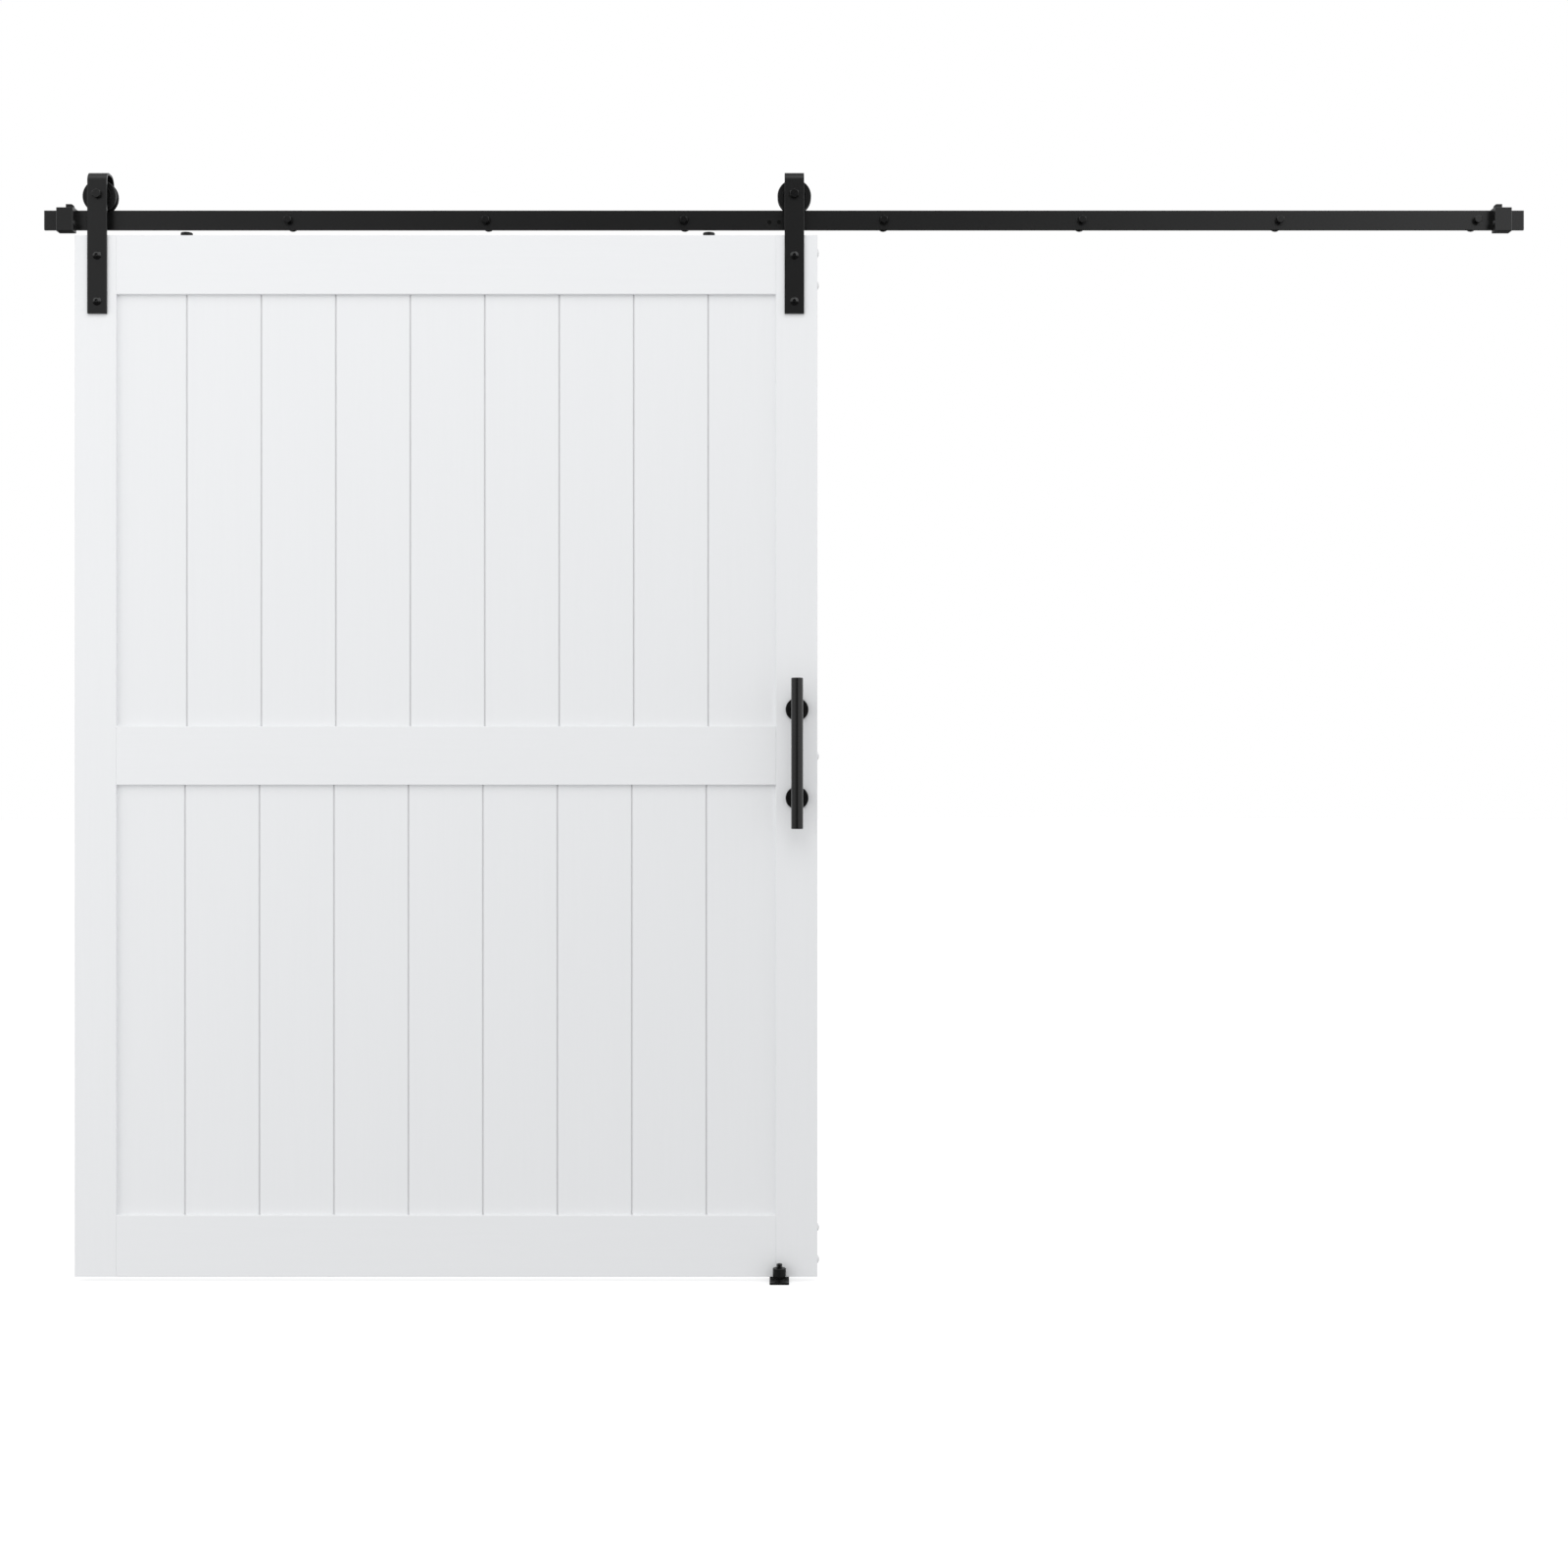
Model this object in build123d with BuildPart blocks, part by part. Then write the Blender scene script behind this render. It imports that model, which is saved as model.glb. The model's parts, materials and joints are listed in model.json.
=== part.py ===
from build123d import *
from math import asin, cos, sin
import os

# Sliding barn door with its hardware: a flat steel rail on standoffs, two hangers with grooved wheels,
# a framed plank door, end stops, anti-jump discs, a tubular pull handle and a floor guide.
#
# Frame, in millimetres: +X runs along the rail to the right, +Y into the wall, +Z up. The origin is on
# the line of the rail's bolts, at the rail's middle joint, in the plane of the wall.

os.makedirs("parts", exist_ok=True)

# ---------------------------------------------------------------- driving dimensions

# rail
RAIL_LENGTH = 3048.0  # ten feet, in two halves
RAIL_HEIGHT = 40.0
RAIL_THICKNESS = 6.0
RAIL_STANDOFF = 38.0  # wall to the rail's back
RAIL_BACK = -RAIL_STANDOFF
RAIL_FRONT = RAIL_BACK - RAIL_THICKNESS
RAIL_MIDDLE = (RAIL_BACK + RAIL_FRONT) / 2
RAIL_TOP = RAIL_HEIGHT / 2
RAIL_EDGE_BREAK = 0.5
LAG_OFFSETS = (206.0, 614.0, 1021.0, 1428.0)  # bolts, each side of the joint
LAG_XS = [side * offset for side in (-1, 1) for offset in LAG_OFFSETS]
LAG_RADIUS = 4.0  # thread, from the wall inwards
LAG_SHANK_RADIUS = 3.7  # plain shank, through the rail and the standoff
LAG_HOLE_RADIUS = 4.5
LAG_HEAD_FLATS = 14.0
LAG_HEAD_HEIGHT = 8.5
LAG_LENGTH = 80.0  # under the head
LAG_POINT = 10.0
LAG_TIP_RADIUS = 0.4
WASHER_THICKNESS = 2.0
LAG_WASHER_RADIUS = 10.0
LAG_BEHIND_WALL = LAG_LENGTH - WASHER_THICKNESS - RAIL_THICKNESS - RAIL_STANDOFF
SPACER_RADIUS = 13.0

# rail joint
JOINT_PLATE_LENGTH = 80.0
JOINT_PLATE_HEIGHT = 26.0
JOINT_PLATE_THICKNESS = 5.0
JOINT_PLATE_DROP = 3.0
JOINT_PLATE_CORNER = 3.0
JOINT_SCREW_XS = (-30.0, -10.0, 10.0, 30.0)
JOINT_SCREW_Z = -5.0
JOINT_SCREW_RADIUS = 2.5
JOINT_SCREW_SINK = 1.8  # the head's face below the rail's
JOINT_SCREW_HEAD_RADIUS = 4.0
JOINT_SCREW_HEAD_HEIGHT = 2.2
JOINT_SCREW_HEAD_ROUND = 0.5
JOINT_SINK_RADIUS = 4.2
JOINT_SCREW_SOCKET = 3.0  # across flats
JOINT_SCREW_SOCKET_DEPTH = 1.6
JOINT_SCREW_OVERHANG = 2.0  # behind the plate

# hangers
HANGER_XS = {"left": -1408.2, "right": 21.2}
AXLE_Z = 48.0
STRAP_WIDTH = 40.0
STRAP_THICKNESS = 5.0
STRAP_FRONT = -67.0
STRAP_BACK = STRAP_FRONT + STRAP_THICKNESS  # this face lies on the door
STRAP_GAP = 42.0
STRAP_REAR_FRONT = STRAP_BACK + STRAP_GAP
STRAP_REAR_BACK = STRAP_REAR_FRONT + STRAP_THICKNESS
STRAP_TOP = 95.4
STRAP_BOTTOM = -197.0
STRAP_REAR_END = 26.0
STRAP_BEND = 19.0  # outside radius
STRAP_EDGE_BREAK = 0.6
STRAP_BOLT_ZS = (-77.5, -171.5)
M10_RADIUS = 5.0
M10_HOLE_RADIUS = 5.25
AXLE_HEAD_FLATS = 17.0
AXLE_HEAD_HEIGHT = 6.5
AXLE_NUT_HEIGHT = 8.0
AXLE_END = -4.0
M10_WASHER_RADIUS = 10.0

# wheel and its bearing
WHEEL_FLANGE_RADIUS = 34.5
WHEEL_TREAD_RADIUS = 27.8  # 0.2 above the rail's top
WHEEL_HALF_WIDTH = 11.3
GROOVE_HALF_BOTTOM = 3.6
GROOVE_HALF_MOUTH = 5.4
WHEEL_DISH_RADIUS = 22.2
WHEEL_BOSS_RADIUS = 17.0
WHEEL_DISH_DEPTH = 1.6
WHEEL_DISH_TAPER = 1.0
WHEEL_RIM_BREAK = 1.2
BEARING_OUTER_RADIUS = 13.0
BEARING_INNER_RADIUS = 5.0
BEARING_HALF_WIDTH = 4.0
INNER_RACE_RADIUS = 7.2
OUTER_RACE_RADIUS = 10.8
BALL_RADIUS = 2.3
BALL_CLEARANCE = 0.04
BALL_PITCH_RADIUS = (INNER_RACE_RADIUS + OUTER_RACE_RADIUS) / 2
BALL_COUNT = 8
SEAL_THICKNESS = 0.6
SEAL_CLEARANCE = 0.3
BUSHING_RADIUS = 7.0

# door
DOOR_LEFT = -1455.6
DOOR_RIGHT = 68.6
DOOR_TOP = -35.4
DOOR_BOTTOM = -2172.5
DOOR_FRONT = STRAP_BACK
DOOR_THICKNESS = 35.0
DOOR_BACK = DOOR_FRONT + DOOR_THICKNESS
DOOR_MIDDLE = (DOOR_FRONT + DOOR_BACK) / 2
STILE_WIDTH = 85.4
TOP_RAIL_HEIGHT = 120.8
UPPER_PANEL_HEIGHT = 886.5
MID_RAIL_HEIGHT = 120.6
BOTTOM_RAIL_HEIGHT = 126.0
DOOR_EDGE_BREAK = 0.8
PLANK_THICKNESS = 18.0
PLANK_COUNT = 9
PLANK_PITCH = 153.1
PLANK_NARROW_END = 138.9  # visible width of the narrower outer board
PLANK_CHAMFER = 2.0
PLANK_GAP = 0.3  # room for the boards to swell
GROOVE_DEPTH = 8.0
TENON = 7.5  # how far a board enters the frame's groove

# hardware in the door's frame
EDGE_FASTENER_ZS = (-68.4, -134.4, -1103.0, -2073.5, -2139.5)
CAP_RADIUS = 8.5
CAP_HEIGHT = 3.8
CAP_RIM = 0.8
CAP_PLUG_GAP = 1.0  # between the cap's plug and the screw's head
FRAME_SCREW_RADIUS = 3.5
FRAME_SCREW_HEAD_RADIUS = 5.5
FRAME_SCREW_RECESS = 12.0
FRAME_SCREW_HEAD_HEIGHT = 5.0
FRAME_SCREW_SOCKET = 5.0  # across flats
FRAME_SCREW_GRIP = 50.0  # in the crosspiece
FRAME_SCREW_END = DOOR_RIGHT - STILE_WIDTH - FRAME_SCREW_GRIP
DOWEL_RADIUS = 5.0
DOWEL_HALF_LENGTH = 30.0
STRAP_BOLT_HEAD_RADIUS = 9.0
STRAP_BOLT_HEAD_HEIGHT = 5.5
STRAP_BOLT_SOCKET = 6.0  # across flats
STRAP_BOLT_SOCKET_DEPTH = 3.4
STRAP_BOLT_RIM = 0.8
STRAP_NUT_FLATS = 17.0
STRAP_NUT_HEIGHT = 8.0
STRAP_BOLT_END = DOOR_BACK + 13.0

# anti-jump discs
DISC_XS = (-1230.0, -154.6)
DISC_RADIUS = 12.3
DISC_HEIGHT = 8.6
DISC_SCREW_RADIUS = 2.5
DISC_SCREW_HEAD_RADIUS = 5.0
DISC_SCREW_LENGTH = 45.0
DISC_SCREW_POINT = 6.0
DISC_EDGE_BREAK = 0.8
DISC_SOCKET_RADIUS = 1.6
DISC_SOCKET_DEPTH = 1.6

# handle
HANDLE_X = 26.7
HANDLE_Z = -1099.2
HANDLE_LENGTH = 307.0
HANDLE_BAR_RADIUS = 12.15
HANDLE_POST_OFFSET = 90.8
HANDLE_POST_ZS = (HANDLE_Z - HANDLE_POST_OFFSET, HANDLE_Z + HANDLE_POST_OFFSET)
HANDLE_POST_RADIUS = 8.0
HANDLE_PROJECTION = 45.0  # door's face to the bar's axis
HANDLE_BAR_Y = DOOR_FRONT - HANDLE_PROJECTION
ROSETTE_RADIUS = 23.5
ROSETTE_THICKNESS = 5.0
HANDLE_BOLT_RADIUS = 3.0
HANDLE_HOLE_RADIUS = 3.5
HANDLE_WASHER_BORE = 3.3
HANDLE_BOLT_DEPTH = 20.0  # thread inside the post
HANDLE_WASHER_RADIUS = 9.0
HANDLE_HEAD_RADIUS = 6.0
HANDLE_HEAD_HEIGHT = 3.5
HANDLE_HEAD_RIM = 0.6
HANDLE_SOCKET = 4.0  # across flats
HANDLE_SOCKET_DEPTH = 2.4
HANDLE_WASHER_THICKNESS = 1.6
HANDLE_END_BREAK = 1.0
ROSETTE_EDGE_BREAK = 1.0

# end stops
STOP_INNER = 1457.8
STOP_WIDTH = 34.0
STOP_FRONT = -67.0
STOP_REAR = -32.0  # back of the hook behind the rail
STOP_TOP = 20.5  # at the front
STOP_BOTTOM = -27.4
STOP_LIP = 2.5  # over the rail's top
STOP_LIP_FRONT = -60.0
STOP_HOOK = 4.0  # lower end of the hook
STOP_EDGE_BREAK = 0.8
STOP_UPSTAND_WIDTH = 16.4
STOP_UPSTAND_TOP = 29.0
STOP_UPSTAND_DEPTH = 6.5
STOP_UPSTAND_ROUND = 6.0
BUMPER_Y = -61.5
BUMPER_Z = -10.0
BUMPER_RADIUS = 5.0
BUMPER_HEIGHT = 4.0
BUMPER_RIM = 1.2
BUMPER_STEM_RADIUS = 2.5
BUMPER_STEM_LENGTH = 8.0
SET_SCREW_RADIUS = 2.5
SET_SCREW_SOCKET = 2.5  # across flats
SET_SCREW_SOCKET_DEPTH = 2.5
SET_SCREW_Z = 12.0
SET_SCREW_OFFSETS = (9.0, 25.0)
SET_SCREW_XS = [side * (STOP_INNER + offset) for side in (-1, 1) for offset in SET_SCREW_OFFSETS]

# floor guide
FLOOR = -2183.0
GUIDE_X = -9.5
GUIDE_WIDTH = 40.0
GUIDE_THICKNESS = 4.5
GUIDE_FRONT = -90.0
GUIDE_UPRIGHT_FRONT = -25.0
GUIDE_UPRIGHT_BACK = GUIDE_UPRIGHT_FRONT + GUIDE_THICKNESS
GUIDE_UPRIGHT_WIDTH = 27.0
GUIDE_UPRIGHT_HEIGHT = 32.0
ROLLER_RADIUS = 13.5
ROLLER_Y = DOOR_FRONT - 2.0 - ROLLER_RADIUS
ROLLER_BASE = 10.1
ROLLER_TOP = 32.0
ROLLER_TAPER_TOP = 16.5
ROLLER_FOOT_RADIUS = 9.5
STUD_RADIUS = 3.0
BUSH_RADIUS = 4.5
GUIDE_NUT_FLATS = 10.0
GUIDE_NUT_HEIGHT = 9.0
STUD_TOP = 40.6
RUNNING_CLEARANCE = 0.05
GUIDE_SCREW_YS = (-54.0, -36.0)
GUIDE_SCREW_RADIUS = 2.5  # thread, from the floor down
GUIDE_SCREW_SHANK_RADIUS = 2.2  # plain shank, through the bracket
GUIDE_SCREW_HEAD_RADIUS = 5.0
GUIDE_SCREW_BELOW = 35.0
GUIDE_SCREW_POINT = 6.0
GUIDE_SCREW_SINK = 2.5
GUIDE_SCREW_SOCKET = 3.0  # across flats
GUIDE_SCREW_SOCKET_DEPTH = 1.5
GUIDE_BEND = 7.0
GUIDE_NECK_START = 2.0  # above the bend, where the upright starts to narrow
GUIDE_NECK_END = 8.0  # above the bend, where it has its final width
GUIDE_CORNER = 3.0
ROLLER_EDGE_BREAK = 0.8
ROLLER_END_PLAY = 0.1

# fasteners
HEX_FACE_STEP = 0.3  # the flat face of a hex head is this much inside its flats
HEX_BEVEL_SLOPE = 0.577
HEX_CUT_REACH = 1.25  # how far the corner cut reaches, in half flats
CUT_MARGIN = 1.0  # how far a cut runs past what it cuts
THREAD_BREAK = 0.8

# ---------------------------------------------------------------- helpers


def facing_room(y):
    """A sketch plane across the wall's normal, whose extrusions grow out of the wall, towards the room."""
    return Plane.XZ.offset(-y)


def radial_plane(x, z):
    """A plane through an axis along Y: its first coordinate is the radius, its second is y."""
    return Plane(origin=(x, 0, z), x_dir=(1, 0, 0), z_dir=(0, 0, 1))


def keep(builder, name):
    """Label a finished piece and write it out."""
    builder.part.label = name
    export_step(builder.part, f"parts/{name}.step")


def box_corners(x0, x1, y0, y1, z0, z1):
    """A block between two opposite corners, for use inside a part."""
    with Locations(((x0 + x1) / 2, (y0 + y1) / 2, (z0 + z1) / 2)):
        Box(x1 - x0, y1 - y0, z1 - z0)


def turned_y(centres, profile):
    """Turned pieces with their axes along Y, at each (x, z); the profile is (radius, y) points."""
    with BuildPart() as piece:
        for x, z in centres:
            with BuildSketch(radial_plane(x, z)):
                with BuildLine():
                    Polyline(*profile, close=True)
                make_face()
            revolve(axis=Axis((x, 0, z), (0, 1, 0)))
    return piece


def turned_z(centres, profile):
    """Turned pieces with their axes along Z, at each (x, y); the profile is (radius, z) points."""
    with BuildPart() as piece:
        for x, y in centres:
            with BuildSketch(Plane(origin=(x, y, 0), x_dir=(1, 0, 0), z_dir=(0, -1, 0))):
                with BuildLine():
                    Polyline(*profile, close=True)
                make_face()
            revolve(axis=Axis((x, y, 0), (0, 0, 1)))
    return piece


def corner_cones(centres, flats, face, into):
    """The cuts that round the corners of hex heads at their outer face; into is +1 if the heads lie at +y."""
    inner, outer = flats / 2 - HEX_FACE_STEP, flats / 2 * HEX_CUT_REACH
    depth = into * (outer - inner) * HEX_BEVEL_SLOPE
    return turned_y(centres, [(inner, face), (outer, face), (outer, face + depth)]).part


def hex_bolts(centres, seat, flats, height, shank):
    """Hex-headed bolts along Y: the head stands out from the seat, the shank has (radius, y) points."""
    cones = corner_cones(centres, flats, seat - height, 1)
    with BuildPart() as bolts:
        with BuildSketch(facing_room(seat)):
            with Locations(*centres):
                RegularPolygon(flats / 2, 6, major_radius=False, rotation=30)
        extrude(amount=height)
        add(cones, mode=Mode.SUBTRACT)
        for x, z in centres:
            with BuildSketch(radial_plane(x, z)):
                with BuildLine():
                    Polyline((0, seat), *shank, (0, shank[-1][1]), close=True)
                make_face()
            revolve(axis=Axis((x, 0, z), (0, 1, 0)))
    return bolts


def hex_nuts(centres, seat, flats, height, bore):
    """Hex nuts on the far side of a joint, behind the seat."""
    cones = corner_cones(centres, flats, seat + height, -1)
    with BuildPart() as nuts:
        with BuildSketch(facing_room(seat)):
            with Locations(*centres):
                RegularPolygon(flats / 2, 6, major_radius=False, rotation=30)
                Circle(bore, mode=Mode.SUBTRACT)
        extrude(amount=-height)
        add(cones, mode=Mode.SUBTRACT)
    return nuts


def dome(radius, base, tip):
    """The arc of a spherical dome, from its rim on the base to its pole on the axis."""
    rise = tip - base
    sphere = (radius**2 + rise**2) / (2 * abs(rise))
    half_angle = asin(radius / sphere) / 2
    drop = sphere * (1 - cos(half_angle))
    middle = (sphere * sin(half_angle), tip - drop if rise > 0 else tip + drop)
    return ThreePointArc((radius, base), middle, (0, tip))


def rings(centres, front, back, outer, bore):
    """Plain round washers and sleeves along Y."""
    return turned_y(centres, [(bore, front), (outer, front), (outer, back), (bore, back)])


# ---------------------------------------------------------------- rail


def make_rails():
    """The two halves of the flat rail, drilled for the wall bolts and the joint's screws."""
    for name, side in (("rail_left", -1), ("rail_right", 1)):
        with BuildPart() as rail:
            with BuildSketch(facing_room(RAIL_BACK)):
                with Locations((side * RAIL_LENGTH / 4, 0)):
                    Rectangle(RAIL_LENGTH / 2, RAIL_HEIGHT)
            extrude(amount=RAIL_THICKNESS)
            chamfer(rail.edges().filter_by(Axis.X), RAIL_EDGE_BREAK)
            with BuildSketch(facing_room(RAIL_BACK)):
                with Locations(*[(x, 0) for x in LAG_XS if x * side > 0]):
                    Circle(LAG_HOLE_RADIUS)
                with Locations(*[(x, JOINT_SCREW_Z) for x in JOINT_SCREW_XS if x * side > 0]):
                    Circle(JOINT_SCREW_RADIUS)
            extrude(amount=RAIL_THICKNESS, mode=Mode.SUBTRACT)
            sink = JOINT_SCREW_SINK + JOINT_SCREW_HEAD_HEIGHT
            with BuildSketch(facing_room(RAIL_FRONT + sink)):
                with Locations(*[(x, JOINT_SCREW_Z) for x in JOINT_SCREW_XS if x * side > 0]):
                    Circle(JOINT_SINK_RADIUS)
            extrude(amount=sink, mode=Mode.SUBTRACT)
        keep(rail, name)


def make_joint():
    """The splice plate behind the rail's joint and the four sunk socket screws that hold it."""
    plate_front = RAIL_BACK
    plate_back = RAIL_BACK + JOINT_PLATE_THICKNESS
    screws_at = [(x, JOINT_SCREW_Z) for x in JOINT_SCREW_XS]
    with BuildPart() as plate:
        with BuildSketch(facing_room(plate_back)):
            with Locations((0, -JOINT_PLATE_DROP)):
                RectangleRounded(JOINT_PLATE_LENGTH, JOINT_PLATE_HEIGHT, JOINT_PLATE_CORNER)
            with Locations(*screws_at):
                Circle(JOINT_SCREW_RADIUS, mode=Mode.SUBTRACT)
        extrude(amount=plate_back - plate_front)
    keep(plate, "joint_plate")

    head_front = RAIL_FRONT + JOINT_SCREW_SINK
    seat = head_front + JOINT_SCREW_HEAD_HEIGHT
    with BuildPart() as screws:
        with BuildSketch(facing_room(seat)):
            with Locations(*screws_at):
                Circle(JOINT_SCREW_HEAD_RADIUS)
        extrude(amount=JOINT_SCREW_HEAD_HEIGHT)
        fillet(screws.faces().sort_by(Axis.Y)[: len(screws_at)].edges(), JOINT_SCREW_HEAD_ROUND)
        with BuildSketch(facing_room(seat)):
            with Locations(*screws_at):
                Circle(JOINT_SCREW_RADIUS)
        extrude(amount=-(plate_back + JOINT_SCREW_OVERHANG - seat))
        with BuildSketch(facing_room(head_front + JOINT_SCREW_SOCKET_DEPTH)):
            with Locations(*screws_at):
                RegularPolygon(JOINT_SCREW_SOCKET / 2, 6, major_radius=False)
        extrude(amount=JOINT_SCREW_SOCKET_DEPTH, mode=Mode.SUBTRACT)
    keep(screws, "joint_screws")


def make_wall_fixings():
    """The standoff, washer and lag bolt at each of the rail's wall points."""
    centres = [(x, 0) for x in LAG_XS]
    washer_front = RAIL_FRONT - WASHER_THICKNESS
    keep(rings(centres, RAIL_BACK, 0, SPACER_RADIUS, LAG_HOLE_RADIUS), "rail_spacers")
    keep(rings(centres, washer_front, RAIL_FRONT, LAG_WASHER_RADIUS, LAG_HOLE_RADIUS), "lag_washers")
    shank = [
        (LAG_SHANK_RADIUS, washer_front),
        (LAG_SHANK_RADIUS, 0),
        (LAG_RADIUS, 0),
        (LAG_RADIUS, LAG_BEHIND_WALL - LAG_POINT),
        (LAG_TIP_RADIUS, LAG_BEHIND_WALL),
    ]
    keep(hex_bolts(centres, washer_front, LAG_HEAD_FLATS, LAG_HEAD_HEIGHT, shank), "lag_bolts")


def make_stops():
    """The end stops that hang on the rail's top edge, their rubber bumpers and the screws that lock them."""
    lip_top = RAIL_TOP + STOP_LIP
    section = [
        (STOP_FRONT, STOP_BOTTOM),
        (STOP_FRONT, STOP_TOP),
        (STOP_LIP_FRONT, lip_top),
        (STOP_REAR, lip_top),
        (STOP_REAR, STOP_HOOK),
        (RAIL_BACK, STOP_HOOK),
        (RAIL_BACK, RAIL_TOP),
        (RAIL_FRONT, RAIL_TOP),
        (RAIL_FRONT, STOP_BOTTOM),
    ]
    for side_name, side in (("left", -1), ("right", 1)):
        inner = side * STOP_INNER
        upstand_outer = inner + side * STOP_UPSTAND_WIDTH
        with BuildPart() as stop:
            with BuildSketch(Plane.YZ.offset(inner)):
                with BuildLine():
                    Polyline(*section, close=True)
                make_face()
            extrude(amount=side * STOP_WIDTH)
            chamfer(stop.faces().sort_by(Axis.Y)[0].edges(), STOP_EDGE_BREAK)
            box_corners(
                min(inner, upstand_outer),
                max(inner, upstand_outer),
                STOP_LIP_FRONT,
                STOP_LIP_FRONT + STOP_UPSTAND_DEPTH,
                RAIL_TOP,
                STOP_UPSTAND_TOP,
            )
            top_edges = stop.faces().sort_by(Axis.Z)[-1].edges().filter_by(Axis.Y)
            fillet(top_edges.sort_by(Axis.X)[0 if side > 0 else -1], STOP_UPSTAND_ROUND)
            with BuildSketch(Plane.YZ.offset(inner)):
                with Locations((BUMPER_Y, BUMPER_Z)):
                    Circle(BUMPER_STEM_RADIUS)
            extrude(amount=side * BUMPER_STEM_LENGTH, mode=Mode.SUBTRACT)
            with BuildSketch(facing_room(STOP_REAR)):
                with Locations(*[(x, SET_SCREW_Z) for x in SET_SCREW_XS if x * side > 0]):
                    Circle(SET_SCREW_RADIUS)
            extrude(amount=STOP_REAR - RAIL_BACK, mode=Mode.SUBTRACT)
        keep(stop, f"stop_{side_name}")

        # the plane's second axis is -X, so the left bumper's tip is at a negative height there
        bumper_plane = Plane(origin=(inner, BUMPER_Y, BUMPER_Z), x_dir=(0, 1, 0), z_dir=(0, 0, 1))
        stem_end = -side * BUMPER_STEM_LENGTH
        rim, tip = side * BUMPER_RIM, side * BUMPER_HEIGHT
        with BuildPart() as bumper:
            with BuildSketch(bumper_plane):
                with BuildLine():
                    Polyline(
                        (0, tip), (0, stem_end), (BUMPER_STEM_RADIUS, stem_end),
                        (BUMPER_STEM_RADIUS, 0), (BUMPER_RADIUS, 0), (BUMPER_RADIUS, rim),
                    )
                    dome(BUMPER_RADIUS, rim, tip)
                make_face()
            revolve(axis=Axis((inner, BUMPER_Y, BUMPER_Z), (1, 0, 0)))
        keep(bumper, f"bumper_{side_name}")

    screws_at = [(x, SET_SCREW_Z) for x in SET_SCREW_XS]
    with BuildPart() as set_screws:
        with BuildSketch(facing_room(STOP_REAR)):
            with Locations(*screws_at):
                Circle(SET_SCREW_RADIUS)
        extrude(amount=STOP_REAR - RAIL_BACK)
        with BuildSketch(facing_room(STOP_REAR)):
            with Locations(*screws_at):
                RegularPolygon(SET_SCREW_SOCKET / 2, 6, major_radius=False)
        extrude(amount=SET_SCREW_SOCKET_DEPTH, mode=Mode.SUBTRACT)
    keep(set_screws, "stop_set_screws")


# ---------------------------------------------------------------- hangers


def make_strap(name, x):
    """A flat strap, bolted to the door's face and bent back over the wheel."""
    with BuildPart() as strap:
        with BuildSketch(Plane.YZ.offset(x - STRAP_WIDTH / 2)):
            with BuildLine():
                FilletPolyline(
                    (STRAP_FRONT, STRAP_BOTTOM),
                    (STRAP_FRONT, STRAP_TOP),
                    (STRAP_REAR_BACK, STRAP_TOP),
                    (STRAP_REAR_BACK, STRAP_REAR_END),
                    radius=STRAP_BEND,
                )
                Line((STRAP_REAR_BACK, STRAP_REAR_END), (STRAP_REAR_FRONT, STRAP_REAR_END))
                FilletPolyline(
                    (STRAP_REAR_FRONT, STRAP_REAR_END),
                    (STRAP_REAR_FRONT, STRAP_TOP - STRAP_THICKNESS),
                    (STRAP_BACK, STRAP_TOP - STRAP_THICKNESS),
                    (STRAP_BACK, STRAP_BOTTOM),
                    radius=STRAP_BEND - STRAP_THICKNESS,
                )
                Line((STRAP_BACK, STRAP_BOTTOM), (STRAP_FRONT, STRAP_BOTTOM))
            make_face()
        extrude(amount=STRAP_WIDTH)
        chamfer(strap.faces().sort_by(Axis.X)[0].edges(), STRAP_EDGE_BREAK)
        chamfer(strap.faces().sort_by(Axis.X)[-1].edges(), STRAP_EDGE_BREAK)
        with BuildSketch(facing_room(STRAP_REAR_BACK)):
            with Locations((x, AXLE_Z)):
                Circle(M10_HOLE_RADIUS)
        extrude(amount=STRAP_REAR_BACK - STRAP_FRONT, mode=Mode.SUBTRACT)
        with BuildSketch(facing_room(STRAP_BACK)):
            with Locations(*[(x, z) for z in STRAP_BOLT_ZS]):
                Circle(M10_HOLE_RADIUS)
        extrude(amount=STRAP_THICKNESS, mode=Mode.SUBTRACT)
    keep(strap, name)


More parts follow.
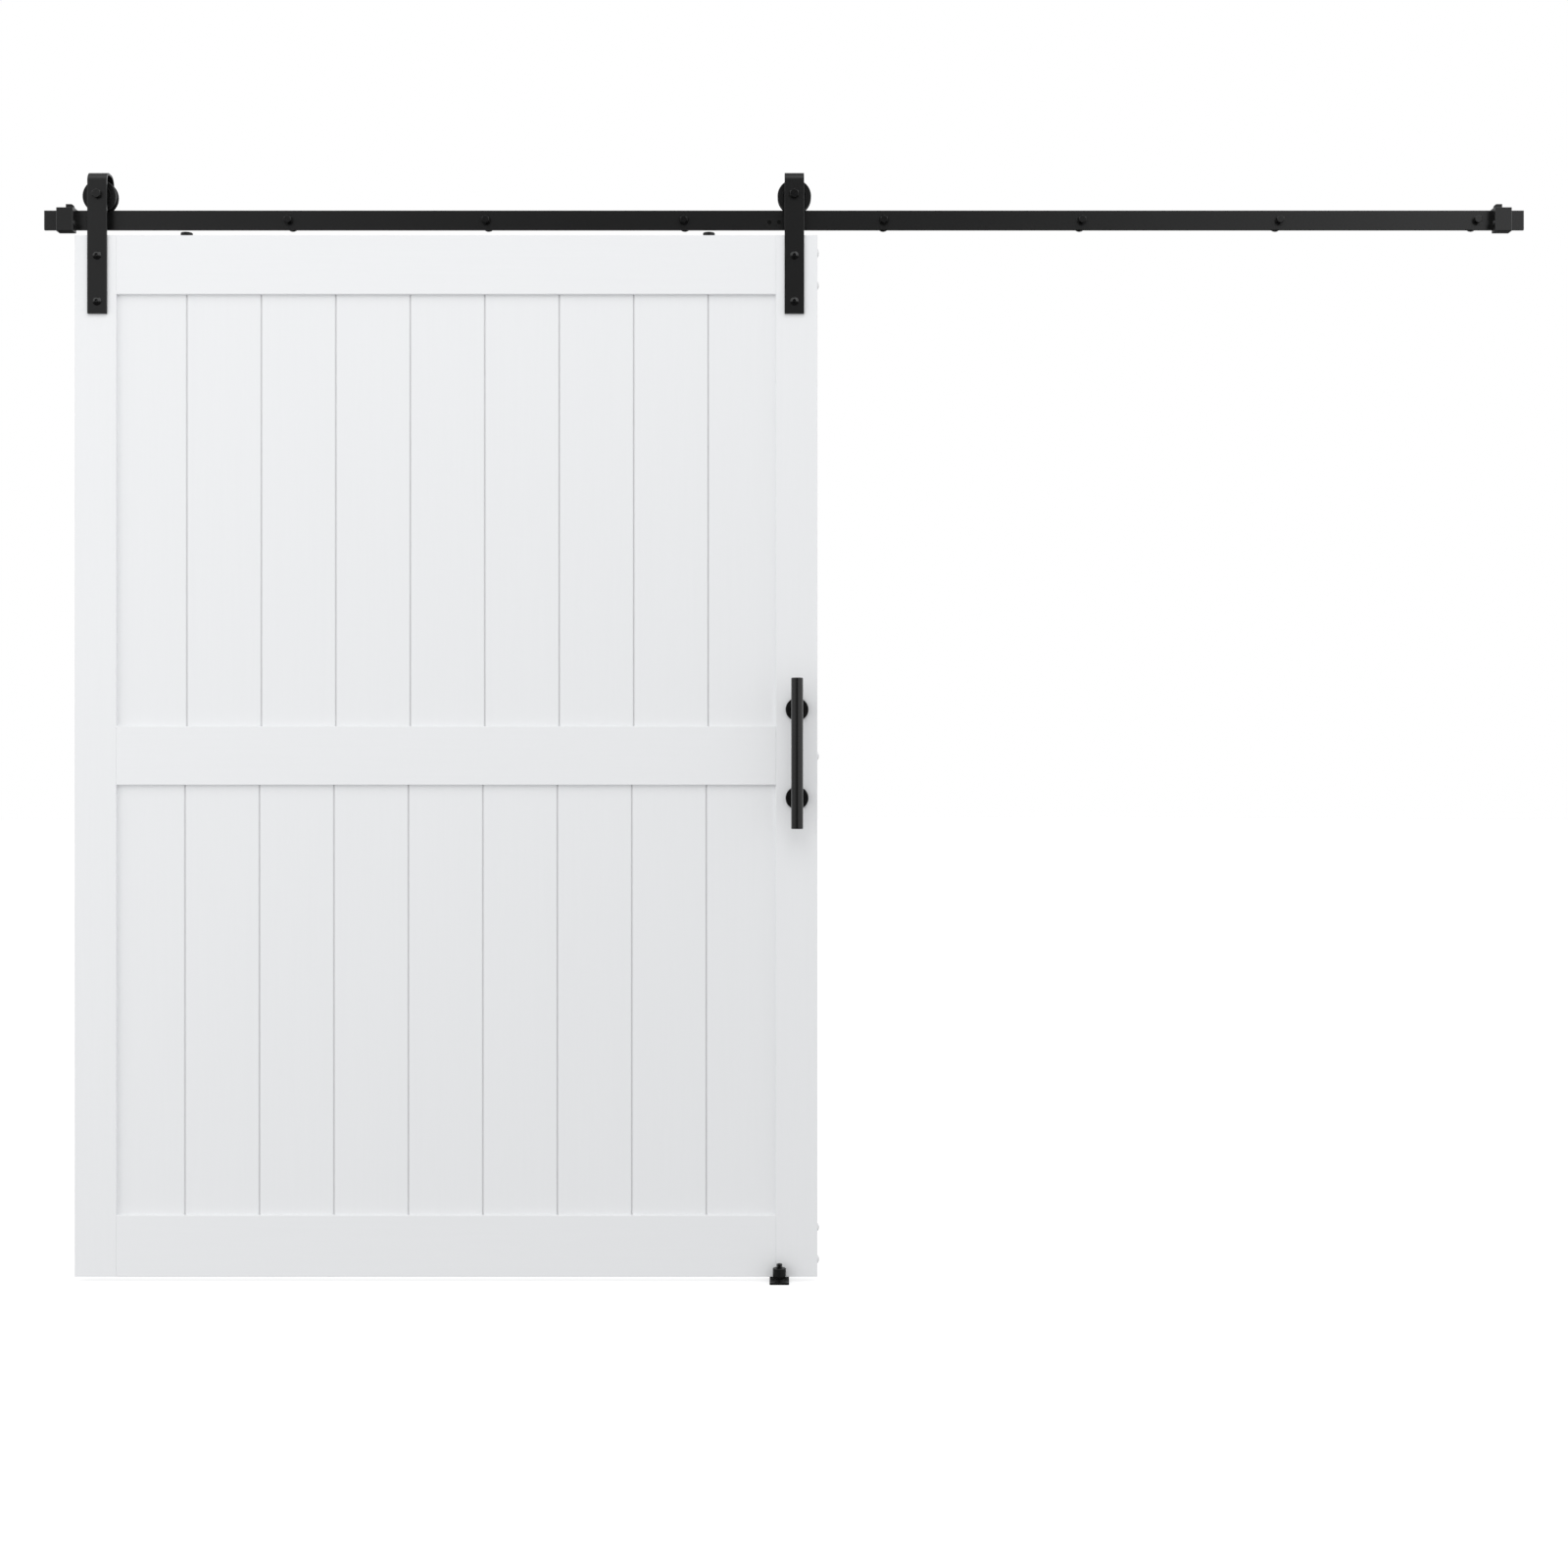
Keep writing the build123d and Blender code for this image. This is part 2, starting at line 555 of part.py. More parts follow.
def make_wheel(side_name, x):
    """A grooved wheel with the turning half of its ball bearing: outer race, balls and seals."""
    at = [(x, AXLE_Z)]
    front, back = RAIL_MIDDLE - WHEEL_HALF_WIDTH, RAIL_MIDDLE + WHEEL_HALF_WIDTH
    race_front, race_back = RAIL_MIDDLE - BEARING_HALF_WIDTH, RAIL_MIDDLE + BEARING_HALF_WIDTH
    wheel = turned_y(
        at,
        [
            (BEARING_OUTER_RADIUS, front),
            (WHEEL_BOSS_RADIUS, front),
            (WHEEL_BOSS_RADIUS + WHEEL_DISH_TAPER, front + WHEEL_DISH_DEPTH),
            (WHEEL_DISH_RADIUS - WHEEL_DISH_TAPER, front + WHEEL_DISH_DEPTH),
            (WHEEL_DISH_RADIUS, front),
            (WHEEL_FLANGE_RADIUS - WHEEL_RIM_BREAK, front),
            (WHEEL_FLANGE_RADIUS, front + WHEEL_RIM_BREAK),
            (WHEEL_FLANGE_RADIUS, RAIL_MIDDLE - GROOVE_HALF_MOUTH),
            (WHEEL_TREAD_RADIUS, RAIL_MIDDLE - GROOVE_HALF_BOTTOM),
            (WHEEL_TREAD_RADIUS, RAIL_MIDDLE + GROOVE_HALF_BOTTOM),
            (WHEEL_FLANGE_RADIUS, RAIL_MIDDLE + GROOVE_HALF_MOUTH),
            (WHEEL_FLANGE_RADIUS, back - WHEEL_RIM_BREAK),
            (WHEEL_FLANGE_RADIUS - WHEEL_RIM_BREAK, back),
            (WHEEL_DISH_RADIUS, back),
            (WHEEL_DISH_RADIUS - WHEEL_DISH_TAPER, back - WHEEL_DISH_DEPTH),
            (WHEEL_BOSS_RADIUS + WHEEL_DISH_TAPER, back - WHEEL_DISH_DEPTH),
            (WHEEL_BOSS_RADIUS, back),
            (BEARING_OUTER_RADIUS, back),
        ],
    )
    keep(wheel, f"wheel_{side_name}")

    with BuildPart() as outer_race:
        with BuildSketch(radial_plane(x, AXLE_Z)):
            with BuildLine():
                Polyline(
                    (OUTER_RACE_RADIUS, race_front),
                    (BEARING_OUTER_RADIUS, race_front),
                    (BEARING_OUTER_RADIUS, race_back),
                    (OUTER_RACE_RADIUS, race_back),
                    close=True,
                )
            make_face()
            with Locations((BALL_PITCH_RADIUS, RAIL_MIDDLE)):
                Circle(BALL_RADIUS + BALL_CLEARANCE, mode=Mode.SUBTRACT)
        revolve(axis=Axis((x, 0, AXLE_Z), (0, 1, 0)))
    keep(outer_race, f"outer_race_{side_name}")

    with BuildPart() as balls:
        with Locations(Plane.XZ.offset(-RAIL_MIDDLE)):
            with Locations((x, AXLE_Z)):
                with PolarLocations(BALL_PITCH_RADIUS, BALL_COUNT):
                    Sphere(BALL_RADIUS)
    keep(balls, f"bearing_balls_{side_name}")

    seal_bore, seal_rim = INNER_RACE_RADIUS + SEAL_CLEARANCE, BEARING_OUTER_RADIUS
    with BuildPart() as seals:
        for y0, y1 in ((race_front - SEAL_THICKNESS, race_front), (race_back, race_back + SEAL_THICKNESS)):
            with BuildSketch(radial_plane(x, AXLE_Z)):
                with BuildLine():
                    Polyline((seal_bore, y0), (seal_rim, y0), (seal_rim, y1), (seal_bore, y1), close=True)
                make_face()
            revolve(axis=Axis((x, 0, AXLE_Z), (0, 1, 0)))
    keep(seals, f"bearing_seals_{side_name}")


def make_axles():
    """The bolt, washer and nut through each hanger, with the bushings and inner races clamped on it."""
    at = [(x, AXLE_Z) for x in HANGER_XS.values()]
    shank = [
        (M10_RADIUS, STRAP_FRONT),
        (M10_RADIUS, AXLE_END - THREAD_BREAK),
        (M10_RADIUS - THREAD_BREAK, AXLE_END),
    ]
    keep(hex_bolts(at, STRAP_FRONT, AXLE_HEAD_FLATS, AXLE_HEAD_HEIGHT, shank), "axle_bolts")
    washer_back = STRAP_REAR_BACK + WASHER_THICKNESS
    keep(rings(at, STRAP_REAR_BACK, washer_back, M10_WASHER_RADIUS, M10_HOLE_RADIUS), "axle_washers")
    nuts = hex_nuts(at, washer_back, AXLE_HEAD_FLATS, AXLE_NUT_HEIGHT, M10_RADIUS)
    keep(nuts, "axle_nuts")

    race_front, race_back = RAIL_MIDDLE - BEARING_HALF_WIDTH, RAIL_MIDDLE + BEARING_HALF_WIDTH
    with BuildPart() as bushings:
        for x, z in at:
            for y0, y1 in ((STRAP_BACK, race_front), (race_back, STRAP_REAR_FRONT)):
                with BuildSketch(radial_plane(x, z)):
                    with BuildLine():
                        Polyline(
                            (M10_RADIUS, y0), (BUSHING_RADIUS, y0), (BUSHING_RADIUS, y1), (M10_RADIUS, y1),
                            close=True,
                        )
                    make_face()
                revolve(axis=Axis((x, 0, z), (0, 1, 0)))
    keep(bushings, "axle_bushings")

    with BuildPart() as races:
        for x, z in at:
            with BuildSketch(radial_plane(x, z)):
                with BuildLine():
                    Polyline(
                        (BEARING_INNER_RADIUS, race_front),
                        (INNER_RACE_RADIUS, race_front),
                        (INNER_RACE_RADIUS, race_back),
                        (BEARING_INNER_RADIUS, race_back),
                        close=True,
                    )
                make_face()
                with Locations((BALL_PITCH_RADIUS, RAIL_MIDDLE)):
                    Circle(BALL_RADIUS + BALL_CLEARANCE, mode=Mode.SUBTRACT)
            revolve(axis=Axis((x, 0, z), (0, 1, 0)))
    keep(races, "inner_races")


def make_strap_fixings():
    """The button-head bolts through each strap and the door, with washers and nuts behind."""
    at = [(x, z) for x in HANGER_XS.values() for z in STRAP_BOLT_ZS]
    head_front = STRAP_FRONT - STRAP_BOLT_HEAD_HEIGHT
    rim = STRAP_FRONT - STRAP_BOLT_RIM
    with BuildPart() as bolts:
        for x, z in at:
            with BuildSketch(radial_plane(x, z)):
                with BuildLine():
                    Polyline(
                        (0, head_front),
                        (0, STRAP_BOLT_END),
                        (M10_RADIUS - THREAD_BREAK, STRAP_BOLT_END),
                        (M10_RADIUS, STRAP_BOLT_END - THREAD_BREAK),
                        (M10_RADIUS, STRAP_FRONT),
                        (STRAP_BOLT_HEAD_RADIUS, STRAP_FRONT),
                        (STRAP_BOLT_HEAD_RADIUS, rim),
                    )
                    dome(STRAP_BOLT_HEAD_RADIUS, rim, head_front)
                make_face()
            revolve(axis=Axis((x, 0, z), (0, 1, 0)))
        with BuildSketch(facing_room(head_front + STRAP_BOLT_SOCKET_DEPTH)):
            with Locations(*at):
                RegularPolygon(STRAP_BOLT_SOCKET / 2, 6, major_radius=False, rotation=30)
        extrude(amount=STRAP_BOLT_SOCKET_DEPTH, mode=Mode.SUBTRACT)
    keep(bolts, "strap_bolts")
    washer_back = DOOR_BACK + WASHER_THICKNESS
    keep(rings(at, DOOR_BACK, washer_back, M10_WASHER_RADIUS, M10_HOLE_RADIUS), "strap_washers")
    nuts = hex_nuts(at, washer_back, STRAP_NUT_FLATS, STRAP_NUT_HEIGHT, M10_RADIUS)
    keep(nuts, "strap_nuts")


# ---------------------------------------------------------------- door

OPENING_LEFT = DOOR_LEFT + STILE_WIDTH
OPENING_RIGHT = DOOR_RIGHT - STILE_WIDTH
UPPER_TOP = DOOR_TOP - TOP_RAIL_HEIGHT
UPPER_BOTTOM = UPPER_TOP - UPPER_PANEL_HEIGHT
LOWER_TOP = UPPER_BOTTOM - MID_RAIL_HEIGHT
LOWER_BOTTOM = DOOR_BOTTOM + BOTTOM_RAIL_HEIGHT
PLANK_FRONT = DOOR_MIDDLE - PLANK_THICKNESS / 2
PLANK_BACK = DOOR_MIDDLE + PLANK_THICKNESS / 2


def make_stile(name, x0, x1, grooved_side):
    """An upright of the frame, grooved along its inner edge for the boards, and drilled."""
    with BuildPart() as stile:
        box_corners(x0, x1, DOOR_FRONT, DOOR_BACK, DOOR_BOTTOM, DOOR_TOP)
        chamfer(stile.edges().filter_by(Axis.Z), DOOR_EDGE_BREAK)
        inner = x1 if grooved_side > 0 else x0
        for bottom, top in ((LOWER_BOTTOM, LOWER_TOP), (UPPER_BOTTOM, UPPER_TOP)):
            with BuildSketch(Plane.YZ.offset(inner)):
                with Locations((DOOR_MIDDLE, (bottom + top) / 2)):
                    Rectangle(PLANK_THICKNESS, top - bottom + 2 * GROOVE_DEPTH)
            extrude(amount=-grooved_side * GROOVE_DEPTH, mode=Mode.SUBTRACT)
        hanger_x = HANGER_XS["left"] if grooved_side > 0 else HANGER_XS["right"]
        with BuildSketch(facing_room(DOOR_BACK)):
            with Locations(*[(hanger_x, z) for z in STRAP_BOLT_ZS]):
                Circle(M10_HOLE_RADIUS)
            if grooved_side < 0:
                with Locations(*[(HANDLE_X, z) for z in HANDLE_POST_ZS]):
                    Circle(HANDLE_HOLE_RADIUS)
        extrude(amount=DOOR_THICKNESS, mode=Mode.SUBTRACT)
        if grooved_side > 0:
            with BuildSketch(Plane.YZ.offset(OPENING_LEFT)):
                with Locations(*[(DOOR_MIDDLE, z) for z in EDGE_FASTENER_ZS]):
                    Circle(DOWEL_RADIUS)
            extrude(amount=-DOWEL_HALF_LENGTH, mode=Mode.SUBTRACT)
        else:
            with BuildSketch(Plane.YZ.offset(DOOR_RIGHT)):
                with Locations(*[(DOOR_MIDDLE, z) for z in EDGE_FASTENER_ZS]):
                    Circle(FRAME_SCREW_RADIUS)
            extrude(amount=-STILE_WIDTH, mode=Mode.SUBTRACT)
            with BuildSketch(Plane.YZ.offset(DOOR_RIGHT)):
                with Locations(*[(DOOR_MIDDLE, z) for z in EDGE_FASTENER_ZS]):
                    Circle(FRAME_SCREW_HEAD_RADIUS)
            extrude(amount=-FRAME_SCREW_RECESS, mode=Mode.SUBTRACT)
    keep(stile, name)


def make_door_rail(name, z0, z1, groove_top, groove_bottom, discs=False):
    """A crosspiece of the frame, grooved for the boards above or below it, and drilled at its ends."""
    with BuildPart() as crosspiece:
        box_corners(OPENING_LEFT, OPENING_RIGHT, DOOR_FRONT, DOOR_BACK, z0, z1)
        chamfer(crosspiece.edges().filter_by(Axis.X), DOOR_EDGE_BREAK)
        for wanted, z, direction in ((groove_top, z1, -1), (groove_bottom, z0, 1)):
            if wanted:
                with BuildSketch(Plane.XY.offset(z)):
                    with Locations(((OPENING_LEFT + OPENING_RIGHT) / 2, DOOR_MIDDLE)):
                        Rectangle(OPENING_RIGHT - OPENING_LEFT, PLANK_THICKNESS)
                extrude(amount=direction * GROOVE_DEPTH, mode=Mode.SUBTRACT)
        heights = [z for z in EDGE_FASTENER_ZS if z0 < z < z1]
        with BuildSketch(Plane.YZ.offset(OPENING_LEFT)):
            with Locations(*[(DOOR_MIDDLE, z) for z in heights]):
                Circle(DOWEL_RADIUS)
        extrude(amount=DOWEL_HALF_LENGTH, mode=Mode.SUBTRACT)
        with BuildSketch(Plane.YZ.offset(OPENING_RIGHT)):
            with Locations(*[(DOOR_MIDDLE, z) for z in heights]):
                Circle(FRAME_SCREW_RADIUS)
        extrude(amount=FRAME_SCREW_END - OPENING_RIGHT, mode=Mode.SUBTRACT)
        if discs:
            with BuildSketch(Plane.XY.offset(z1)):
                with Locations(*[(x, DOOR_MIDDLE) for x in DISC_XS]):
                    Circle(DISC_SCREW_RADIUS)
            extrude(amount=DISC_HEIGHT - DISC_SCREW_LENGTH, mode=Mode.SUBTRACT)
    keep(crosspiece, name)


def make_planks(name, z0, z1, first_visible):
    """The upright boards of one panel, bevelled along their long edges, let into the frame all round."""
    joints = [OPENING_LEFT + first_visible + PLANK_PITCH * i for i in range(PLANK_COUNT - 1)]
    edges = [OPENING_LEFT - TENON] + joints + [OPENING_RIGHT + TENON]
    with BuildPart() as planks:
        for start, stop in zip(edges, edges[1:]):
            left, right = start + PLANK_GAP / 2, stop - PLANK_GAP / 2
            cut = PLANK_CHAMFER
            with BuildSketch(Plane.XY.offset(z0 - TENON)):
                with BuildLine():
                    Polyline(
                        (left, PLANK_FRONT + cut),
                        (left + cut, PLANK_FRONT),
                        (right - cut, PLANK_FRONT),
                        (right, PLANK_FRONT + cut),
                        (right, PLANK_BACK - cut),
                        (right - cut, PLANK_BACK),
                        (left + cut, PLANK_BACK),
                        (left, PLANK_BACK - cut),
                        close=True,
                    )
                make_face()
            extrude(amount=z1 - z0 + 2 * TENON)
    keep(planks, name)


def make_frame_fasteners():
    """Screws and caps in the door's right edge, and the dowels of its left joints."""
    centres = [(DOOR_MIDDLE, z) for z in EDGE_FASTENER_ZS]
    head_top = DOOR_RIGHT - FRAME_SCREW_RECESS + FRAME_SCREW_HEAD_HEIGHT
    head_seat = DOOR_RIGHT - FRAME_SCREW_RECESS
    with BuildPart() as screws:
        with BuildSketch(Plane.YZ.offset(FRAME_SCREW_END)):
            with Locations(*centres):
                Circle(FRAME_SCREW_RADIUS)
        extrude(amount=head_seat - FRAME_SCREW_END)
        with BuildSketch(Plane.YZ.offset(head_seat)):
            with Locations(*centres):
                Circle(FRAME_SCREW_HEAD_RADIUS)
                RegularPolygon(FRAME_SCREW_SOCKET / 2, 6, major_radius=False, mode=Mode.SUBTRACT)
        extrude(amount=head_top - head_seat)
    keep(screws, "assembly_screws")

    with BuildPart() as dowels:
        with BuildSketch(Plane.YZ.offset(OPENING_LEFT - DOWEL_HALF_LENGTH)):
            with Locations(*centres):
                Circle(DOWEL_RADIUS)
        extrude(amount=2 * DOWEL_HALF_LENGTH)
    keep(dowels, "frame_dowels")

    # a cap's sketch has the radius along +Y and the height along -X
    plug_end = FRAME_SCREW_RECESS - FRAME_SCREW_HEAD_HEIGHT - CAP_PLUG_GAP
    with BuildPart() as caps:
        for y, z in centres:
            with BuildSketch(Plane(origin=(DOOR_RIGHT, y, z), x_dir=(0, 1, 0), z_dir=(0, 0, 1))):
                with BuildLine():
                    Polyline(
                        (0, -CAP_HEIGHT),
                        (0, plug_end),
                        (FRAME_SCREW_HEAD_RADIUS, plug_end),
                        (FRAME_SCREW_HEAD_RADIUS, 0),
                        (CAP_RADIUS, 0),
                        (CAP_RADIUS, -CAP_RIM),
                    )
                    dome(CAP_RADIUS, -CAP_RIM, -CAP_HEIGHT)
                make_face()
            revolve(axis=Axis((DOOR_RIGHT, y, z), (1, 0, 0)))
    keep(caps, "edge_caps")


def make_antijump_discs():
    """The discs on the door's top edge that keep it from being lifted off the rail."""
    at = [(x, DOOR_MIDDLE) for x in DISC_XS]
    top = DOOR_TOP + DISC_HEIGHT
    sink = DISC_SCREW_HEAD_RADIUS - DISC_SCREW_RADIUS
    discs = turned_z(
        at,
        [
            (DISC_SCREW_RADIUS, DOOR_TOP),
            (DISC_RADIUS, DOOR_TOP),
            (DISC_RADIUS, top - DISC_EDGE_BREAK),
            (DISC_RADIUS - DISC_EDGE_BREAK, top),
            (DISC_SCREW_HEAD_RADIUS, top),
            (DISC_SCREW_RADIUS, top - sink),
        ],
    )
    keep(discs, "antijump_discs")
    screws = turned_z(
        at,
        [
            (0, top - DISC_SOCKET_DEPTH),
            (0, top - DISC_SCREW_LENGTH),
            (DISC_SCREW_RADIUS, top - DISC_SCREW_LENGTH + DISC_SCREW_POINT),
            (DISC_SCREW_RADIUS, top - sink),
            (DISC_SCREW_HEAD_RADIUS, top),
            (DISC_SOCKET_RADIUS, top),
        ],
    )
    keep(screws, "antijump_screws")


# ---------------------------------------------------------------- handle


def make_handle():
    """A round pull bar on two posts, bolted through the stile from behind."""
    posts_at = [(HANDLE_X, z) for z in HANDLE_POST_ZS]
    bar_bottom = HANDLE_Z - HANDLE_LENGTH / 2
    with BuildPart() as bar:
        with BuildSketch(Plane.XY.offset(bar_bottom)):
            with Locations((HANDLE_X, HANDLE_BAR_Y)):
                Circle(HANDLE_BAR_RADIUS)
        extrude(amount=HANDLE_LENGTH)
        chamfer(bar.edges().filter_by(GeomType.CIRCLE), HANDLE_END_BREAK)
    keep(bar, "handle_bar")

    with BuildPart() as posts:
        with BuildSketch(facing_room(DOOR_FRONT)):
            with Locations(*posts_at):
                Circle(HANDLE_POST_RADIUS)
        extrude(amount=HANDLE_PROJECTION)
        with BuildSketch(Plane.XY.offset(bar_bottom)):
            with Locations((HANDLE_X, HANDLE_BAR_Y)):
                Circle(HANDLE_BAR_RADIUS)
        extrude(amount=HANDLE_LENGTH, mode=Mode.SUBTRACT)
        with BuildSketch(facing_room(DOOR_FRONT)):
            with Locations(*posts_at):
                Circle(HANDLE_BOLT_RADIUS)
        extrude(amount=HANDLE_BOLT_DEPTH, mode=Mode.SUBTRACT)
    keep(posts, "handle_posts")

    rosette_front = DOOR_FRONT - ROSETTE_THICKNESS
    rosettes = turned_y(
        posts_at,
        [
            (HANDLE_POST_RADIUS, DOOR_FRONT),
            (HANDLE_POST_RADIUS, rosette_front),
            (ROSETTE_RADIUS - ROSETTE_EDGE_BREAK, rosette_front),
            (ROSETTE_RADIUS, rosette_front + ROSETTE_EDGE_BREAK),
            (ROSETTE_RADIUS, DOOR_FRONT),
        ],
    )
    keep(rosettes, "handle_rosettes")

    washer_back = DOOR_BACK + HANDLE_WASHER_THICKNESS
    washers = rings(posts_at, DOOR_BACK, washer_back, HANDLE_WASHER_RADIUS, HANDLE_WASHER_BORE)
    keep(washers, "handle_washers")
    bolt_tip = DOOR_FRONT - HANDLE_BOLT_DEPTH
    head_back = washer_back + HANDLE_HEAD_HEIGHT
    rim = washer_back + HANDLE_HEAD_RIM
    with BuildPart() as bolts:
        for x, z in posts_at:
            with BuildSketch(radial_plane(x, z)):
                with BuildLine():
                    Polyline(
                        (0, head_back),
                        (0, bolt_tip),
                        (HANDLE_BOLT_RADIUS - THREAD_BREAK, bolt_tip),
                        (HANDLE_BOLT_RADIUS, bolt_tip + THREAD_BREAK),
                        (HANDLE_BOLT_RADIUS, washer_back),
                        (HANDLE_HEAD_RADIUS, washer_back),
                        (HANDLE_HEAD_RADIUS, rim),
                    )
                    dome(HANDLE_HEAD_RADIUS, rim, head_back)
                make_face()
            revolve(axis=Axis((x, 0, z), (0, 1, 0)))
        with BuildSketch(facing_room(head_back)):
            with Locations(*posts_at):
                RegularPolygon(HANDLE_SOCKET / 2, 6, major_radius=False)
        extrude(amount=HANDLE_SOCKET_DEPTH, mode=Mode.SUBTRACT)
    keep(bolts, "handle_bolts")


# ---------------------------------------------------------------- floor guide


def make_floor_guide():
    """The bracket under the door, with a roller in front of the door and an upright behind it."""
    plate_top = FLOOR + GUIDE_THICKNESS
    bend_top = FLOOR + GUIDE_BEND
    upright_top = FLOOR + GUIDE_UPRIGHT_HEIGHT
    bend_start = GUIDE_UPRIGHT_BACK - GUIDE_BEND
    sink_bottom = plate_top - GUIDE_SCREW_SINK
    screws_at = [(GUIDE_X, y) for y in GUIDE_SCREW_YS]
    with BuildPart() as bracket:
        with BuildSketch(Plane.YZ.offset(GUIDE_X - GUIDE_WIDTH / 2)):
            with BuildLine():
                Polyline(
                    (GUIDE_UPRIGHT_BACK, bend_top),
                    (GUIDE_UPRIGHT_BACK, upright_top),
                    (GUIDE_UPRIGHT_FRONT, upright_top),
                    (GUIDE_UPRIGHT_FRONT, plate_top),
                    (GUIDE_FRONT, plate_top),
                    (GUIDE_FRONT, FLOOR),
                    (bend_start, FLOOR),
                )
                RadiusArc((bend_start, FLOOR), (GUIDE_UPRIGHT_BACK, bend_top), -GUIDE_BEND)
            make_face()
        extrude(amount=GUIDE_WIDTH)
        for side in (-1, 1):
            edge = GUIDE_X + side * GUIDE_WIDTH / 2
            upright_edge = GUIDE_X + side * GUIDE_UPRIGHT_WIDTH / 2
            with BuildSketch(facing_room(GUIDE_UPRIGHT_BACK)):
                with BuildLine():
                    Polyline(
                        (edge, bend_top + GUIDE_NECK_START),
                        (upright_edge, bend_top + GUIDE_NECK_END),
                        (upright_edge, upright_top + CUT_MARGIN),
                        (edge + side * CUT_MARGIN, upright_top + CUT_MARGIN),
                        (edge + side * CUT_MARGIN, bend_top + GUIDE_NECK_START),
                        close=True,
                    )
                make_face()
            extrude(amount=GUIDE_THICKNESS, mode=Mode.SUBTRACT)
        front_corners = bracket.edges().filter_by(Axis.Z).group_by(Axis.Y)[0]
        fillet(front_corners, GUIDE_CORNER)
        with BuildSketch(Plane.XY.offset(FLOOR)):
            with Locations((GUIDE_X, ROLLER_Y)):
                Circle(STUD_RADIUS)
            with Locations(*screws_at):
                Circle(GUIDE_SCREW_RADIUS)
        extrude(amount=GUIDE_THICKNESS, mode=Mode.SUBTRACT)
        for x, y in screws_at:
            with BuildSketch(Plane(origin=(x, y, 0), x_dir=(1, 0, 0), z_dir=(0, -1, 0))):
                with BuildLine():
                    Polyline(
                        (0, plate_top),
                        (GUIDE_SCREW_HEAD_RADIUS, plate_top),
                        (GUIDE_SCREW_RADIUS, sink_bottom),
                        (0, sink_bottom),
                        close=True,
                    )
                make_face()
            revolve(axis=Axis((x, y, 0), (0, 0, 1)), mode=Mode.SUBTRACT)
    keep(bracket, "guide_bracket")

    blanks = turned_z(
        screws_at,
        [
            (0, plate_top),
            (0, FLOOR - GUIDE_SCREW_BELOW),
            (GUIDE_SCREW_RADIUS, FLOOR - GUIDE_SCREW_BELOW + GUIDE_SCREW_POINT),
            (GUIDE_SCREW_RADIUS, FLOOR),
            (GUIDE_SCREW_SHANK_RADIUS, FLOOR),
            (GUIDE_SCREW_SHANK_RADIUS, sink_bottom),
            (GUIDE_SCREW_RADIUS, sink_bottom),
            (GUIDE_SCREW_HEAD_RADIUS, plate_top),
        ],
    ).part
    with BuildPart() as screws:
        add(blanks)
        with BuildSketch(Plane.XY.offset(plate_top)):
            with Locations(*screws_at):
                RegularPolygon(GUIDE_SCREW_SOCKET / 2, 6, major_radius=False)
        extrude(amount=-GUIDE_SCREW_SOCKET_DEPTH, mode=Mode.SUBTRACT)
    keep(screws, "guide_screws")

    at = [(GUIDE_X, ROLLER_Y)]
    nut_seat = FLOOR + ROLLER_TOP + ROLLER_END_PLAY
    stud = turned_z(
        at,
        [
            (0, FLOOR),
            (STUD_RADIUS, FLOOR),
            (STUD_RADIUS, FLOOR + STUD_TOP - THREAD_BREAK),
            (STUD_RADIUS - THREAD_BREAK, FLOOR + STUD_TOP),
            (0, FLOOR + STUD_TOP),
        ],
    )
    keep(stud, "guide_stud")
    collar_top = FLOOR + ROLLER_BASE - ROLLER_END_PLAY
    collar = turned_z(
        at,
        [
            (STUD_RADIUS, plate_top),
            (ROLLER_FOOT_RADIUS, plate_top),
            (ROLLER_FOOT_RADIUS, collar_top),
            (STUD_RADIUS, collar_top),
        ],
    )
    keep(collar, "guide_collar")
    with BuildPart() as nut:
        with BuildSketch(Plane.XY.offset(nut_seat)):
            with Locations((GUIDE_X, ROLLER_Y)):
                RegularPolygon(GUIDE_NUT_FLATS / 2, 6, major_radius=False)
                Circle(STUD_RADIUS, mode=Mode.SUBTRACT)
        extrude(amount=GUIDE_NUT_HEIGHT)
        inner, outer = GUIDE_NUT_FLATS / 2 - HEX_FACE_STEP, GUIDE_NUT_FLATS / 2 * HEX_CUT_REACH
        nut_top = nut_seat + GUIDE_NUT_HEIGHT
        with BuildSketch(Plane(origin=(GUIDE_X, ROLLER_Y, 0), x_dir=(1, 0, 0), z_dir=(0, -1, 0))):
            with BuildLine():
                Polyline(
                    (inner, nut_top), (outer, nut_top), (outer, nut_top - (outer - inner) * HEX_BEVEL_SLOPE),
                    close=True,
                )
            make_face()
        revolve(axis=Axis((GUIDE_X, ROLLER_Y, 0), (0, 0, 1)), mode=Mode.SUBTRACT)
    keep(nut, "guide_nut")

    bush_bore = STUD_RADIUS + RUNNING_CLEARANCE
    base, top = FLOOR + ROLLER_BASE, FLOOR + ROLLER_TOP
    bush = turned_z(at, [(bush_bore, base), (BUSH_RADIUS, base), (BUSH_RADIUS, top), (bush_bore, top)])
    keep(bush, "guide_bush")
    roller = turned_z(
        at,
        [
            (BUSH_RADIUS, base),
            (ROLLER_FOOT_RADIUS, base),
            (ROLLER_RADIUS, FLOOR + ROLLER_TAPER_TOP),
            (ROLLER_RADIUS, top - ROLLER_EDGE_BREAK),
            (ROLLER_RADIUS - ROLLER_EDGE_BREAK, top),
            (BUSH_RADIUS, top),
        ],
    )
    keep(roller, "guide_roller")


# ---------------------------------------------------------------- the whole set

make_rails()
make_joint()
make_wall_fixings()
make_stops()

